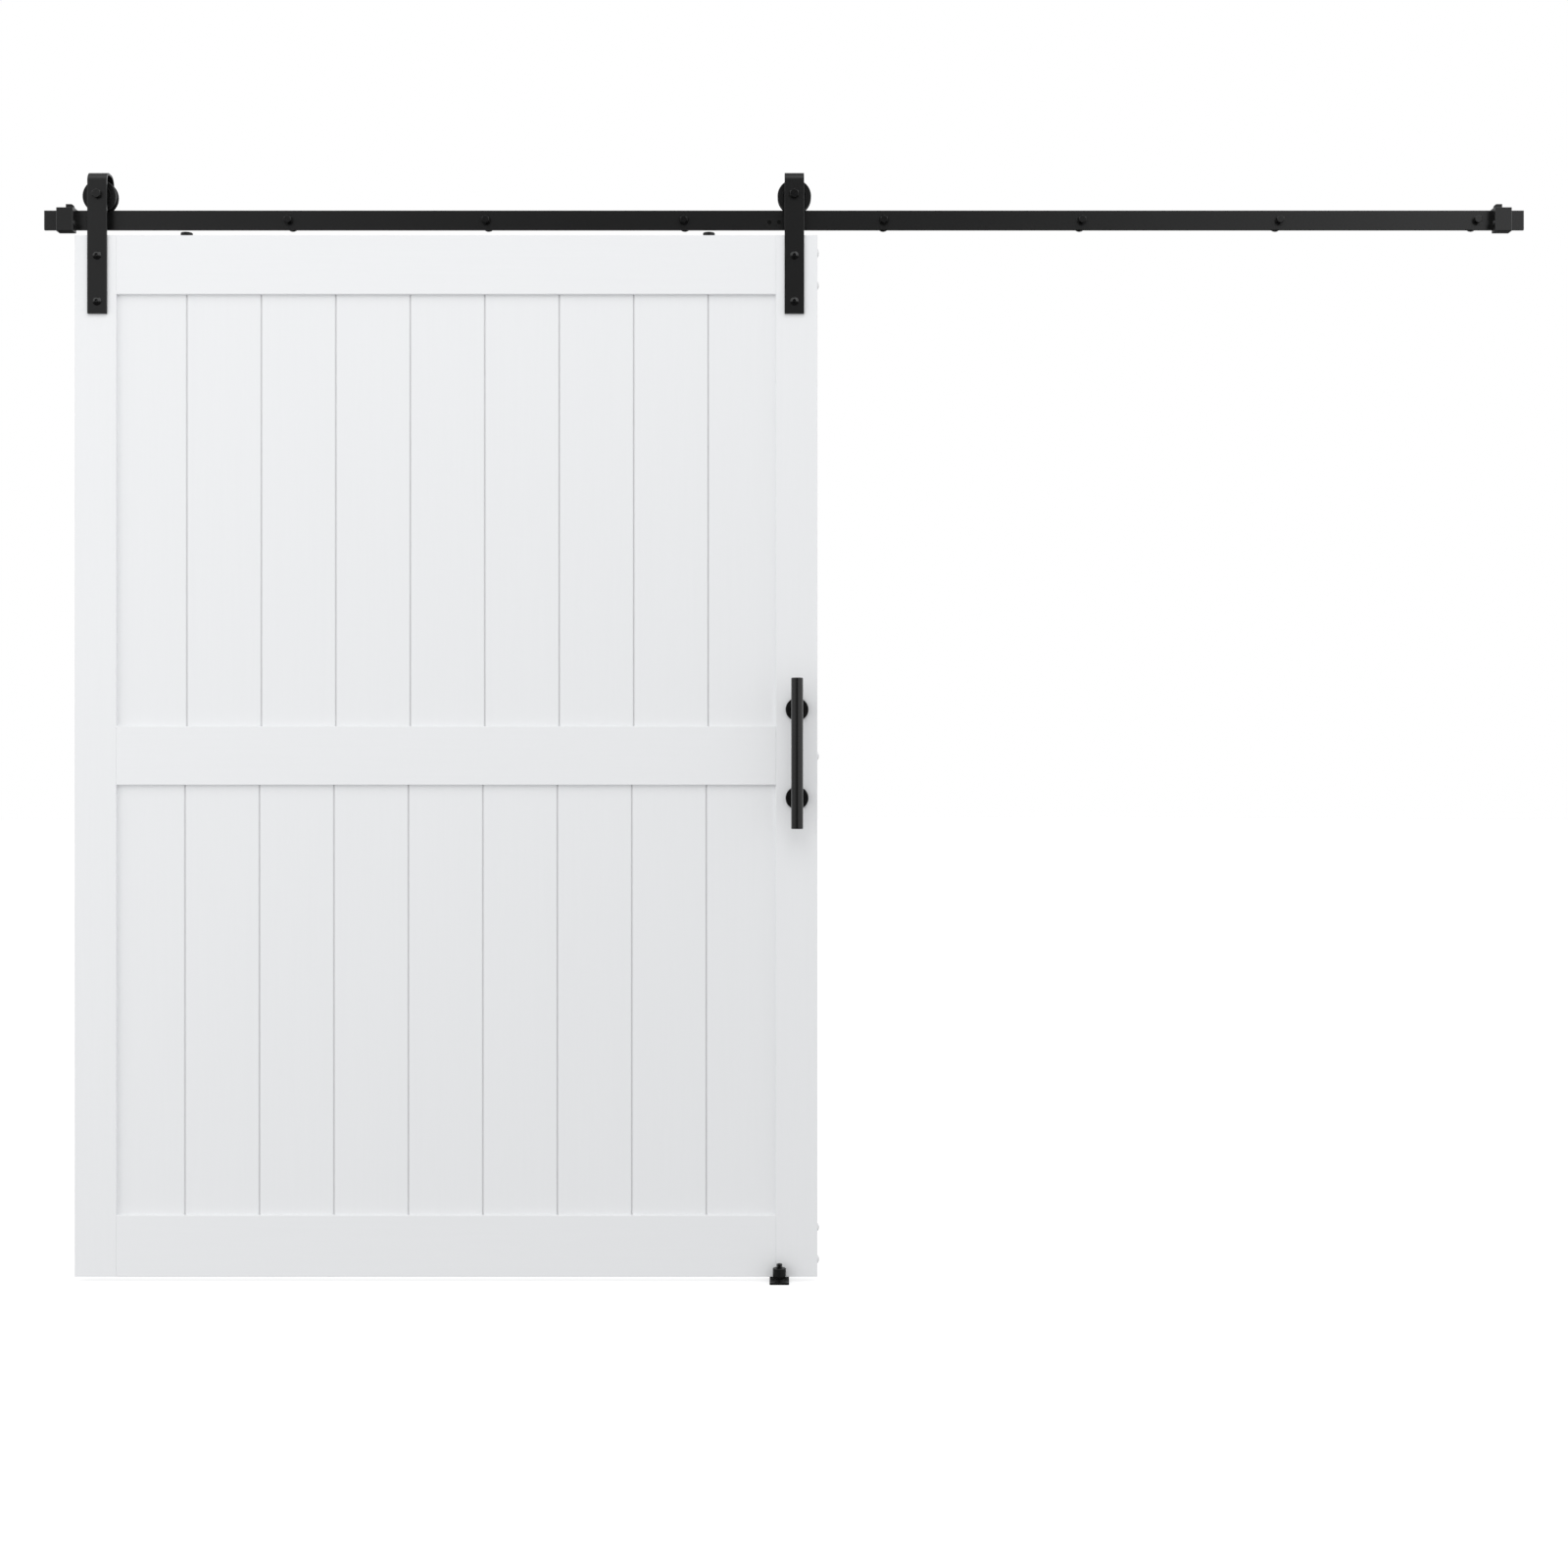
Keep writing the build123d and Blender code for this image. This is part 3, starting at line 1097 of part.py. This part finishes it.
for side_name, hanger_x in HANGER_XS.items():
    make_strap(f"strap_{side_name}", hanger_x)
    make_wheel(side_name, hanger_x)
make_axles()
make_strap_fixings()

make_stile("stile_left", DOOR_LEFT, OPENING_LEFT, 1)
make_stile("stile_right", OPENING_RIGHT, DOOR_RIGHT, -1)
make_door_rail("top_rail", UPPER_TOP, DOOR_TOP, False, True, discs=True)
make_door_rail("mid_rail", LOWER_TOP, UPPER_BOTTOM, True, True)
make_door_rail("bottom_rail", DOOR_BOTTOM, LOWER_BOTTOM, True, False)
plank_wide_end = OPENING_RIGHT - OPENING_LEFT - PLANK_PITCH * (PLANK_COUNT - 2) - PLANK_NARROW_END
make_planks("upper_planks", UPPER_BOTTOM, UPPER_TOP, plank_wide_end)
make_planks("lower_planks", LOWER_BOTTOM, LOWER_TOP, PLANK_NARROW_END)
make_frame_fasteners()
make_antijump_discs()
make_handle()
make_floor_guide()
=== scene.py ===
# Looks for the sliding barn door: materials for every CAD piece, fine mesh details, studio light and camera.
# Lengths are in metres, in the frame of the CAD model: +X along the rail, +Y into the wall, +Z up.
import json
from math import cos, pi, sin

import bmesh
import bpy
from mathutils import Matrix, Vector


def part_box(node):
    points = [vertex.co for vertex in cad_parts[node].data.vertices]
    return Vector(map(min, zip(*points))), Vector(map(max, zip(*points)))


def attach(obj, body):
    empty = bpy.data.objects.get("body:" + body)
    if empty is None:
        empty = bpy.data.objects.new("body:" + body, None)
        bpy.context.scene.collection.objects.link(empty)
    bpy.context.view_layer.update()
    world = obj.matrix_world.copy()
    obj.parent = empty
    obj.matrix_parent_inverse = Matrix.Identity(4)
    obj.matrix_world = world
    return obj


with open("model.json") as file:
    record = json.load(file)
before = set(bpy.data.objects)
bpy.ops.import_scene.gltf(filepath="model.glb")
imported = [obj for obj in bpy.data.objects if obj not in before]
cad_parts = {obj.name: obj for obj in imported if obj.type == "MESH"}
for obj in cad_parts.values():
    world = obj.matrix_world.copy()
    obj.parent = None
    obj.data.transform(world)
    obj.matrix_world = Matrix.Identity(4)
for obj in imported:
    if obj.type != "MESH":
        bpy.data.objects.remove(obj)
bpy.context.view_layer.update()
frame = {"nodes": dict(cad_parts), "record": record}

NODES = frame["nodes"]
MM = 0.001

# ---------------------------------------------------------------- places, from the frame

RECORD = frame["record"]
Y_AXIS = Vector((0, 1, 0))
Z_AXIS = Vector((0, 0, 1))
FLOOR_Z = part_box("guide_bracket")[0].z
DOOR_LOW = Vector(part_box("stile_left")[0])
DOOR_HIGH = Vector(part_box("stile_right")[1])
PANEL_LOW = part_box("upper_planks")[0]
BOARD_PITCH = 153.1 * MM
HANGER_XS = [(low.x + high.x) / 2 for low, high in (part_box("wheel_left"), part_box("wheel_right"))]
STRAP_HEAD_RADIUS = 9 * MM

# screw threads: the wall's long bolts, the guide's floor screws and the hangers' bolts
WALL_THREAD = {"pitch": 3.2 * MM, "height": 0.45 * MM, "point": 10 * MM}
FLOOR_THREAD = {"pitch": 2.2 * MM, "height": 0.35 * MM, "point": 8 * MM}
STRAP_THREAD = {"pitch": 1.25 * MM, "height": 0.2 * MM}
STRAP_BOLT_RADIUS = 4 * MM
STRAP_THREAD_START = 0.1 * MM  # past the nut
STRAP_BOLT_TIP = 0.7 * MM  # left bare
THREAD_START = 0.5 * MM  # past the face that a thread comes out of
THREAD_STEPS = 26  # to a turn
THREAD_SINK = 0.15 * MM  # the ridge's foot, let into the bolt
THREAD_HALF_FOOT = 0.3  # of the pitch
THREAD_LEAST = 0.15  # of the full ridge, at its ends
THREAD_POINT_LEFT_BARE = 0.2  # of a tapered point

# beads: the welds of the handle's posts, and the lines on the wheels' faces
BEAD_STEPS = 72
BEAD_SIDES = 10
WELD_RADIUS = 1.0 * MM
WELD_STAND_OFF = 0.3 * MM  # its middle, from the post's side and from the bar's
WHEEL_LINE_REACH = 23.5 * MM  # from the axle
WHEEL_LINE_RADIUS = 0.5 * MM

# paint, and the painted shade in the boards' grooves
FRAME_WHITE = (0.86, 0.866, 0.875)
BOARD_WHITE = (0.855, 0.861, 0.87)
GROOVE_PAINTED_SHADE = 0.88  # painted shade: the grey that the boards' bevels are multiplied by, against the paint on their faces, standing in for the shade in the grooves
BEVEL_SLOPE = (0.35, 0.6)  # how far a face has to turn sideways to be a bevel and take the painted shade
BOARD_STEP = 17.3  # how far the grain jumps from one board to the next

# ---------------------------------------------------------------- camera and stage

CAMERA_DISTANCE = 4.53  # in front of the wall
CAMERA_Z = -1.1614
CAMERA_LENS = 50
CAMERA_SENSOR = 36
CAMERA_REACH = 200
FLOOR_RADIUS = 60
FLOOR_SIDES = 96
FLOOR_GLOW = 0.62

# the studio: its light from below to above, then its reflections
ROOM_COLOUR = (0.985, 0.992, 1.0)
ROOM_LIGHT = (0.59, 0.76)
RIGHT_WALL_LIGHT = 1.6  # times the rest of the room's
ROOM_SHINE = (0.05, 1.05)  # from below to above
LEFT_SHINE = 1.1
RIGHT_SHINE = 1.65
OVERHEAD_SHINE = 1.5  # a strip light above the camera
BEHIND_SHINE = 0.25  # times the strip light
FRONT_SHINE = 0.02  # the dark part of the room, where the camera stands

# where the studio's light changes, along one axis of the direction looked in
LIGHT_RISE = (-0.5, 0.6)
RIGHT_WALL_EDGE = (0.6, 0.9)
LEFT_SHINE_EDGE = (-0.56, -0.02)
RIGHT_SHINE_EDGE = (0.02, 0.46)
STRIP_FRONT_EDGE = (-0.8, -0.6)
STRIP_BACK_EDGE = (-0.45, -0.1)
SHINE_RISE = (-0.25, 0.25)

# soft boxes: name, place, size and watts
SOFT_BOXES = (
    ("top", (-0.3, -3.0, 2.2), 3.6, 56),
    ("left", (-4.0, -2.2, -1.0), 3.6, 40),
    ("behind", (1.5, 5.0, 1.6), 3.0, 70),
)


def make_camera():
    """A level camera, square on to the wall, on the line of the rail's middle joint."""
    data = bpy.data.cameras.new("camera")
    data.lens = CAMERA_LENS
    data.sensor_width = CAMERA_SENSOR
    data.clip_end = CAMERA_REACH
    camera = bpy.data.objects.new("camera", data)
    camera.location = (0, -CAMERA_DISTANCE, CAMERA_Z)
    camera.rotation_euler = (pi / 2, 0, 0)
    bpy.context.scene.collection.objects.link(camera)
    bpy.context.scene.camera = camera


def make_floor():
    """A wide pale floor under the guide's bracket."""
    mesh = bpy.data.meshes.new("floor")
    shape = bmesh.new()
    bmesh.ops.create_circle(shape, cap_ends=True, segments=FLOOR_SIDES, radius=FLOOR_RADIUS)
    shape.to_mesh(mesh)
    shape.free()
    floor = bpy.data.objects.new("floor", mesh)
    floor.location = (0, 0, FLOOR_Z)
    bpy.context.scene.collection.objects.link(floor)
    floor.visible_diffuse = False
    floor.visible_glossy = False
    look = Look("floor_paper", colour=(0.5, 0.5, 0.5), roughness=0.9)
    look.set("Emission Color", (1, 1, 1, 1))
    look.set("Emission Strength", FLOOR_GLOW)
    floor.data.materials.append(look.material)


def make_world():
    """White to the camera. As light, a pale room. In reflections, bright walls and a strip overhead."""
    world = bpy.data.worlds.new("studio")
    bpy.context.scene.world = world
    world.use_nodes = True
    world.cycles.sampling_method = "NONE"
    graph = Graph(world.node_tree)
    graph.tree.nodes.clear()
    direction = graph.add("TexCoord").outputs["Generated"]
    x, y, z = graph.parts(direction)
    lit = graph.ranged(z, *ROOM_LIGHT, LIGHT_RISE)
    lit = graph.maths("MULTIPLY", lit, graph.ranged(x, 1.0, RIGHT_WALL_LIGHT, RIGHT_WALL_EDGE))
    left = graph.ranged(x, LEFT_SHINE, FRONT_SHINE, LEFT_SHINE_EDGE)
    right = graph.ranged(x, FRONT_SHINE, RIGHT_SHINE, RIGHT_SHINE_EDGE)
    strip = graph.ranged(y, 0.0, OVERHEAD_SHINE, STRIP_FRONT_EDGE)
    strip = graph.maths("MULTIPLY", strip, graph.ranged(y, 1.0, BEHIND_SHINE, STRIP_BACK_EDGE))
    walls = graph.maths("MAXIMUM", left, right)
    shine = graph.maths("MAXIMUM", walls, strip)
    shine = graph.maths("MULTIPLY", shine, graph.ranged(z, *ROOM_SHINE, SHINE_RISE))
    ray = graph.add("LightPath").outputs
    strength = graph.add("Mix")
    graph.link(ray["Is Glossy Ray"], strength.inputs[0])
    graph.link(lit, strength.inputs[2])
    graph.link(shine, strength.inputs[3])
    room = graph.add("Background")
    room.inputs["Color"].default_value = (*ROOM_COLOUR, 1)
    graph.link(strength.outputs[0], room.inputs["Strength"])
    white = graph.add("Background")
    white.inputs["Color"].default_value = (1, 1, 1, 1)
    mix = graph.add("MixShader")
    graph.link(ray["Is Camera Ray"], mix.inputs[0])
    graph.link(room.outputs[0], mix.inputs[1])
    graph.link(white.outputs[0], mix.inputs[2])
    graph.link(mix.outputs[0], graph.add("OutputWorld").inputs["Surface"])


def make_light(name, at, size, power):
    """A square soft box aimed at the door's middle. It lights the object but isn't mirrored in it."""
    data = bpy.data.lights.new(name, "AREA")
    data.shape = "SQUARE"
    data.size = size
    data.energy = power
    light = bpy.data.objects.new(name, data)
    light.location = at
    aim = (DOOR_LOW + DOOR_HIGH) / 2
    light.rotation_euler = (aim - Vector(at)).to_track_quat("-Z", "Y").to_euler()
    light.visible_camera = False
    light.visible_glossy = False
    bpy.context.scene.collection.objects.link(light)


# ---------------------------------------------------------------- materials


class Graph:
    """Short ways to add nodes to a tree and join them."""

    def __init__(self, tree):
        self.tree = tree

    def add(self, kind, **settings):
        node = self.tree.nodes.new("ShaderNode" + kind)
        for name, value in settings.items():
            setattr(node, name, value)
        return node

    def link(self, source, target):
        self.tree.links.new(source, target)

    def parts(self, vector):
        node = self.add("SeparateXYZ")
        self.link(vector, node.inputs[0])
        return node.outputs

    def maths(self, operation, first, second=0.0):
        """One sum of two values. The second may be a number, and some sums don't use it."""
        node = self.add("Math", operation=operation)
        self.link(first, node.inputs[0])
        if isinstance(second, (int, float)):
            node.inputs[1].default_value = second
        else:
            self.link(second, node.inputs[1])
        return node.outputs[0]

    def ranged(self, value, low, high, span=(0.3, 0.7)):
        """A value that crosses the span, eased to go from low to high."""
        start, stop = span
        node = self.add("MapRange", interpolation_type="SMOOTHSTEP")
        node.inputs["From Min"].default_value = start
        node.inputs["From Max"].default_value = stop
        node.inputs["To Min"].default_value = low
        node.inputs["To Max"].default_value = high
        self.link(value, node.inputs["Value"])
        return node.outputs[0]


class Look(Graph):
    """A Principled material and the few nodes that vary it. Coordinates are in metres, in the CAD frame."""

    def __init__(self, name, colour, roughness, metallic=0.0, specular=0.5):
        self.material = bpy.data.materials.new(name)
        self.material.use_nodes = True
        super().__init__(self.material.node_tree)
        self.shader = self.tree.nodes["Principled BSDF"]
        self.place = self.add("TexCoord").outputs["Object"]
        self.set("Base Color", (*colour, 1))
        self.set("Roughness", roughness)
        self.set("Metallic", metallic)
        self.set("Specular IOR Level", specular)
        self.normal = None

    def set(self, socket, value):
        self.shader.inputs[socket].default_value = value

    def stretched(self, scale, shift=None):
        """The coordinates times a scale for each axis, moved by another value if there is one."""
        mapping = self.add("Mapping")
        mapping.inputs["Scale"].default_value = scale
        self.link(self.place, mapping.inputs["Vector"])
        if shift is None:
            return mapping.outputs[0]
        moved = self.add("VectorMath", operation="ADD")
        self.link(mapping.outputs[0], moved.inputs[0])
        self.link(shift, moved.inputs[1])
        return moved.outputs[0]

    def noise(self, scale, detail=2.0, rough=0.5, coords=None, distortion=0.0):
        node = self.add("TexNoise")
        node.inputs["Scale"].default_value = scale
        node.inputs["Detail"].default_value = detail
        node.inputs["Roughness"].default_value = rough
        node.inputs["Distortion"].default_value = distortion
        self.link(coords or self.place, node.inputs["Vector"])
        return node.outputs["Fac"]

    def blend(self, factor, first, second):
        """The surface's colour, between two as factor goes from 0 to 1."""
        node = self.add("Mix", data_type="RGBA")
        self.link(factor, node.inputs[0])
        node.inputs[6].default_value = (*first, 1)
        node.inputs[7].default_value = (*second, 1)
        self.link(node.outputs[2], self.shader.inputs["Base Color"])
        return node.outputs[2]

    def shade(self, colour, factor, grey):
        """Paints shade: multiplies the surface's colour by a grey as factor goes from 0 to 1."""
        node = self.add("Mix", data_type="RGBA", blend_type="MULTIPLY")
        self.link(factor, node.inputs[0])
        self.link(colour, node.inputs[6])
        node.inputs[7].default_value = (grey, grey, grey, 1)
        self.link(node.outputs[2], self.shader.inputs["Base Color"])

    def roughness_from(self, value):
        self.link(value, self.shader.inputs["Roughness"])

    def bump(self, height, depth, strength):
        """Adds relief of that depth in metres on top of any relief before it."""
        node = self.add("Bump")
        node.inputs["Strength"].default_value = strength
        node.inputs["Distance"].default_value = depth
        self.link(height, node.inputs["Height"])
        if self.normal is not None:
            self.link(self.normal, node.inputs["Normal"])
        self.normal = node.outputs["Normal"]
        self.link(self.normal, self.shader.inputs["Normal"])


def scaled(colour, factor):
    """A colour made darker or lighter, and no brighter than white."""
    return tuple(min(1, part * factor) for part in colour)


def dress(look, *names):
    """Gives CAD nodes a material in place of the one that they came with."""
    for name in names:
        slots = NODES[name].data.materials
        slots.clear()
        slots.append(look.material)


def powder_coat(name, level, roughness):
    """Black powder coat: a fine pebbled skin with faint cloudiness."""
    colour = (level, level, level)
    look = Look(name, colour, roughness)
    look.blend(look.noise(14, detail=3), scaled(colour, 0.86), scaled(colour, 1.16))
    pebbles = look.noise(1300, detail=2, rough=0.55)
    look.roughness_from(look.ranged(pebbles, roughness - 0.03, roughness + 0.04))
    look.bump(pebbles, depth=0.04 * MM, strength=0.3)
    look.bump(look.noise(260, detail=1), depth=0.03 * MM, strength=0.3)
    return look


def moulded(name, level, roughness, specular, grain):
    """Moulded nylon, rubber or plastic: a fine even grain."""
    colour = (level, level, level)
    look = Look(name, colour, roughness, specular=specular)
    look.blend(look.noise(30), scaled(colour, 0.9), scaled(colour, 1.1))
    texture = look.noise(grain, detail=3, rough=0.6)
    look.roughness_from(look.ranged(texture, roughness - 0.06, roughness + 0.08))
    look.bump(texture, depth=0.03 * MM, strength=0.5)
    return look


def bare_metal(name, colour, roughness, streaks):
    """Ground or plated metal: a fine grain, drawn out into streaks where its scales differ."""
    look = Look(name, colour, roughness, metallic=1.0)
    lines = look.noise(1, detail=3, rough=0.65, coords=look.stretched(streaks))
    look.blend(lines, scaled(colour, 0.86), scaled(colour, 1.1))
    look.roughness_from(look.ranged(lines, roughness - 0.06, roughness + 0.12))
    look.bump(lines, depth=0.01 * MM, strength=0.4)
    return look


def board_shift(look):
    """A large step in the grain, once a board and a few millimetres past the joint on its left."""
    x = look.parts(look.place)[0]
    number = look.maths("DIVIDE", look.maths("SUBTRACT", x, PANEL_LOW.x), BOARD_PITCH)
    return look.maths("MULTIPLY", look.maths("FLOOR", number), BOARD_STEP)


def painted_wood(name, grain_scale, colour, boards=False):
    """White paint over wood: a sprayed skin, and the grain only just showing through. On the boards, painted
    shade darkens the bevels of the grooves.
    """
    look = Look(name, colour, 0.45, specular=0.3)
    coords = look.stretched(grain_scale, board_shift(look) if boards else None)
    grain = look.noise(1, detail=5, rough=0.62, coords=coords, distortion=0.6)
    paint = look.blend(look.ranged(grain, 0, 1), scaled(colour, 0.996), scaled(colour, 1.003))
    if boards:
        # painted shade: faces that turn sideways, the grooves' bevels, are darkened as if shaded in the
        # groove
        facing = look.add("NewGeometry").outputs["Normal"]
        slope = look.maths("ABSOLUTE", look.parts(facing)[0])
        look.shade(paint, look.ranged(slope, 0.0, 1.0, BEVEL_SLOPE), GROOVE_PAINTED_SHADE)
    stipple = look.noise(520, detail=3, rough=0.6)
    look.roughness_from(look.ranged(stipple, 0.4, 0.52))
    look.bump(grain, depth=0.02 * MM, strength=0.2)
    look.bump(stipple, depth=0.02 * MM, strength=0.2)
    return look


def bare_wood(name):
    """Unfinished beech with its long pores."""
    look = Look(name, (0.5, 0.33, 0.18), 0.7, specular=0.3)
    grain = look.noise(1, detail=6, rough=0.7, coords=look.stretched((60, 900, 900)))
    look.blend(grain, (0.42, 0.26, 0.13), (0.62, 0.44, 0.27))
    look.bump(grain, depth=0.06 * MM, strength=0.6)
    return look


def dress_all():
    """Every CAD node's material. Gives back those that the fine details share."""
    steel = powder_coat("black_powder_coat", level=0.005, roughness=0.32)
    dress(steel, "rail_left", "rail_right", "joint_plate", "strap_left", "strap_right", "rail_spacers")
    dress(steel, "stop_left", "stop_right", "guide_bracket")
    handle = powder_coat("black_handle", level=0.004, roughness=0.27)
    dress(handle, "handle_bar", "handle_posts", "handle_rosettes")
    fastener = powder_coat("black_fastener", level=0.004, roughness=0.24)
    dress(fastener, "joint_screws", "lag_washers", "lag_bolts", "axle_bolts", "axle_washers", "axle_nuts")
    dress(fastener, "strap_bolts", "strap_washers", "strap_nuts", "handle_washers", "handle_bolts")
    dress(fastener, "guide_stud", "guide_nut", "guide_collar", "guide_screws", "stop_set_screws")
    dress(fastener, "antijump_screws", "axle_bushings")
    nylon = moulded("black_nylon", level=0.0045, roughness=0.42, specular=0.3, grain=900)
    dress(nylon, "wheel_left", "wheel_right", "guide_roller", "antijump_discs")
    rubber = moulded("black_rubber", level=0.014, roughness=0.6, specular=0.5, grain=600)
    dress(rubber, "bumper_left", "bumper_right", "bearing_seals_left", "bearing_seals_right")
    races = bare_metal("ground_steel", (0.62, 0.62, 0.62), roughness=0.24, streaks=(300, 4000, 300))
    dress(races, "inner_races", "outer_race_left", "outer_race_right")
    dress(races, "bearing_balls_left", "bearing_balls_right")
    zinc = bare_metal("zinc_plate", (0.66, 0.66, 0.63), roughness=0.34, streaks=(900, 900, 900))
    dress(zinc, "assembly_screws")
    bronze = bare_metal("bronze", (0.55, 0.38, 0.17), roughness=0.4, streaks=(900, 900, 900))
    dress(bronze, "guide_bush")
    upright = painted_wood("white_stile", (170, 170, 5), FRAME_WHITE)
    dress(upright, "stile_left", "stile_right")
    across = painted_wood("white_crosspiece", (5, 170, 170), FRAME_WHITE)
    dress(across, "top_rail", "mid_rail", "bottom_rail")
    boards = painted_wood("white_boards", (150, 150, 4), BOARD_WHITE, boards=True)
    dress(boards, "upper_planks", "lower_planks")
    plastic = moulded("white_cap", level=0.80, roughness=0.35, specular=0.5, grain=700)
    dress(plastic, "edge_caps")
    dress(bare_wood("beech"), "frame_dowels")
    return fastener, handle, nylon


# ---------------------------------------------------------------- fine details


def add_tube(shape, rings, closed):
    """Skins a run of rings of points, joined end to end or capped at both ends."""
    loops = [[shape.verts.new(point) for point in ring] for ring in rings]
    pairs = list(zip(loops, loops[1:]))
    if closed:
        pairs.append((loops[-1], loops[0]))
    else:
        shape.faces.new(loops[0])
        shape.faces.new(loops[-1])
    for first, second in pairs:
        for i in range(len(first)):
            j = (i + 1) % len(first)
            shape.faces.new((first[i], first[j], second[j], second[i]))


def add_thread(shape, start, axis, length, radius, pitch, height, point=0.0):
    """A helical ridge round a bolt. It fades in and out at its ends, and follows a tapered point."""
    side = axis.orthogonal().normalized()
    other = axis.cross(side)
    stop = length - point * THREAD_POINT_LEFT_BARE
    steps = int(stop / pitch * THREAD_STEPS)
    rings = []
    for step in range(steps + 1):
        along = stop * step / steps
        angle = 2 * pi * along / pitch
        outwards = side * cos(angle) + other * sin(angle)
        fade = min(1.0, THREAD_LEAST + 2 * min(along, stop - along) / pitch)
        core = radius * min(1.0, (length - along) / point) if point else radius
        spot = start + axis * along
        foot = spot + outwards * (core - THREAD_SINK)
        half = axis * (THREAD_HALF_FOOT * pitch * fade)
        rings.append([foot - half, spot + outwards * (core + height * fade), foot + half])
    add_tube(shape, rings, closed=False)


def add_bead(shape, middle, reach, thickness, lift=lambda x: 0.0):
    """A round bead about an axis along Y, that rises along Y by what lift says for its place along X."""
    rings = []
    for step in range(BEAD_STEPS):
        angle = 2 * pi * step / BEAD_STEPS
        out = Vector((cos(angle), 0, sin(angle)))
        spot = middle + out * reach + Y_AXIS * lift(reach * out.x)
        turns = [2 * pi * i / BEAD_SIDES for i in range(BEAD_SIDES)]
        rings.append([spot + (out * cos(turn) + Y_AXIS * sin(turn)) * thickness for turn in turns])
    add_tube(shape, rings, closed=True)


def add_piece(name, shape, body, look):
    """Makes an object of the shape, in a material, that rides on a body."""
    bmesh.ops.recalc_face_normals(shape, faces=shape.faces)
    mesh = bpy.data.meshes.new(name)
    shape.to_mesh(mesh)
    shape.free()
    mesh.shade_smooth()
    mesh.materials.append(look.material)
    piece = bpy.data.objects.new(name, mesh)
    bpy.context.scene.collection.objects.link(piece)
    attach(piece, body)


def make_wall_threads(look):
    """The coarse thread of the rail's long bolts, which shows behind the wall's plane."""
    shape = bmesh.new()
    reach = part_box("lag_bolts")[1].y
    for mount in RECORD["mounts"]:
        if not mount["name"].startswith("wall_bolts"):
            continue
        radius = mount["dims"]["stud_r_mm"] * MM
        for side in (-1, 1):
            start = Vector((side * mount["dims"]["spacing_x_mm"] * MM / 2, THREAD_START, 0))
            add_thread(shape, start, Y_AXIS, reach - THREAD_START, radius, **WALL_THREAD)
    add_piece("lag_bolt_threads", shape, "track", look)


def make_floor_threads(look):
    """The thread of the guide's two floor screws, below the floor's plane."""
    shape = bmesh.new()
    low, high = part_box("guide_screws")
    mount = next(mount for mount in RECORD["mounts"] if mount["name"] == "floor_screws")
    radius = mount["dims"]["stud_r_mm"] * MM
    top = FLOOR_Z - THREAD_START
    for side in (-1, 1):
        y = (low.y + high.y) / 2 + side * mount["dims"]["spacing_y_mm"] * MM / 2
        start = Vector(((low.x + high.x) / 2, y, top))
        add_thread(shape, start, -Z_AXIS, top - low.z, radius, **FLOOR_THREAD)
    add_piece("guide_screw_threads", shape, "track", look)


def make_strap_bolt_threads(look):
    """The ends of the hangers' bolts, past their nuts on the back of the door."""
    shape = bmesh.new()
    low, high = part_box("strap_bolts")
    start_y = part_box("strap_nuts")[1].y + STRAP_THREAD_START
    length = high.y - STRAP_BOLT_TIP - start_y
    for x in HANGER_XS:
        for z in (low.z + STRAP_HEAD_RADIUS, high.z - STRAP_HEAD_RADIUS):
            add_thread(shape, Vector((x, start_y, z)), Y_AXIS, length, STRAP_BOLT_RADIUS, **STRAP_THREAD)
    add_piece("strap_bolt_threads", shape, "door", look)


def make_handle_welds(look):
    """The weld round the top of each handle post, on the saddle where it meets the bar."""
    shape = bmesh.new()
    bar_low, bar_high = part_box("handle_bar")
    post_low, post_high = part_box("handle_posts")
    bar_radius = (bar_high.x - bar_low.x) / 2
    post_radius = (post_high.x - post_low.x) / 2
    middle = (bar_low + bar_high) / 2
    for z in (post_low.z + post_radius, post_high.z - post_radius):
        add_bead(
            shape,
            Vector((middle.x, middle.y, z)),
            post_radius + WELD_STAND_OFF,
            WELD_RADIUS,
            lift=lambda x: (bar_radius**2 - x**2) ** 0.5 + WELD_STAND_OFF,
        )
    add_piece("handle_welds", shape, "door", look)


def make_wheel_lines(look):
    """The raised line moulded round both faces of each wheel."""
    for side in ("left", "right"):
        shape = bmesh.new()
        low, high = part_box(f"wheel_{side}")
        for y in (low.y, high.y):
            middle = Vector(((low.x + high.x) / 2, y, (low.z + high.z) / 2))
            add_bead(shape, middle, WHEEL_LINE_REACH, WHEEL_LINE_RADIUS)
        add_piece(f"wheel_face_lines_{side}", shape, f"hanger_wheel_{side}", look)


# ---------------------------------------------------------------- the scene

make_camera()
make_floor()
make_world()
for box in SOFT_BOXES:
    make_light(*box)
fastener_look, handle_look, nylon_look = dress_all()
make_wall_threads(fastener_look)
make_floor_threads(fastener_look)
make_strap_bolt_threads(fastener_look)
make_handle_welds(handle_look)
make_wheel_lines(nylon_look)
bpy.context.scene.view_settings.view_transform = "Standard"
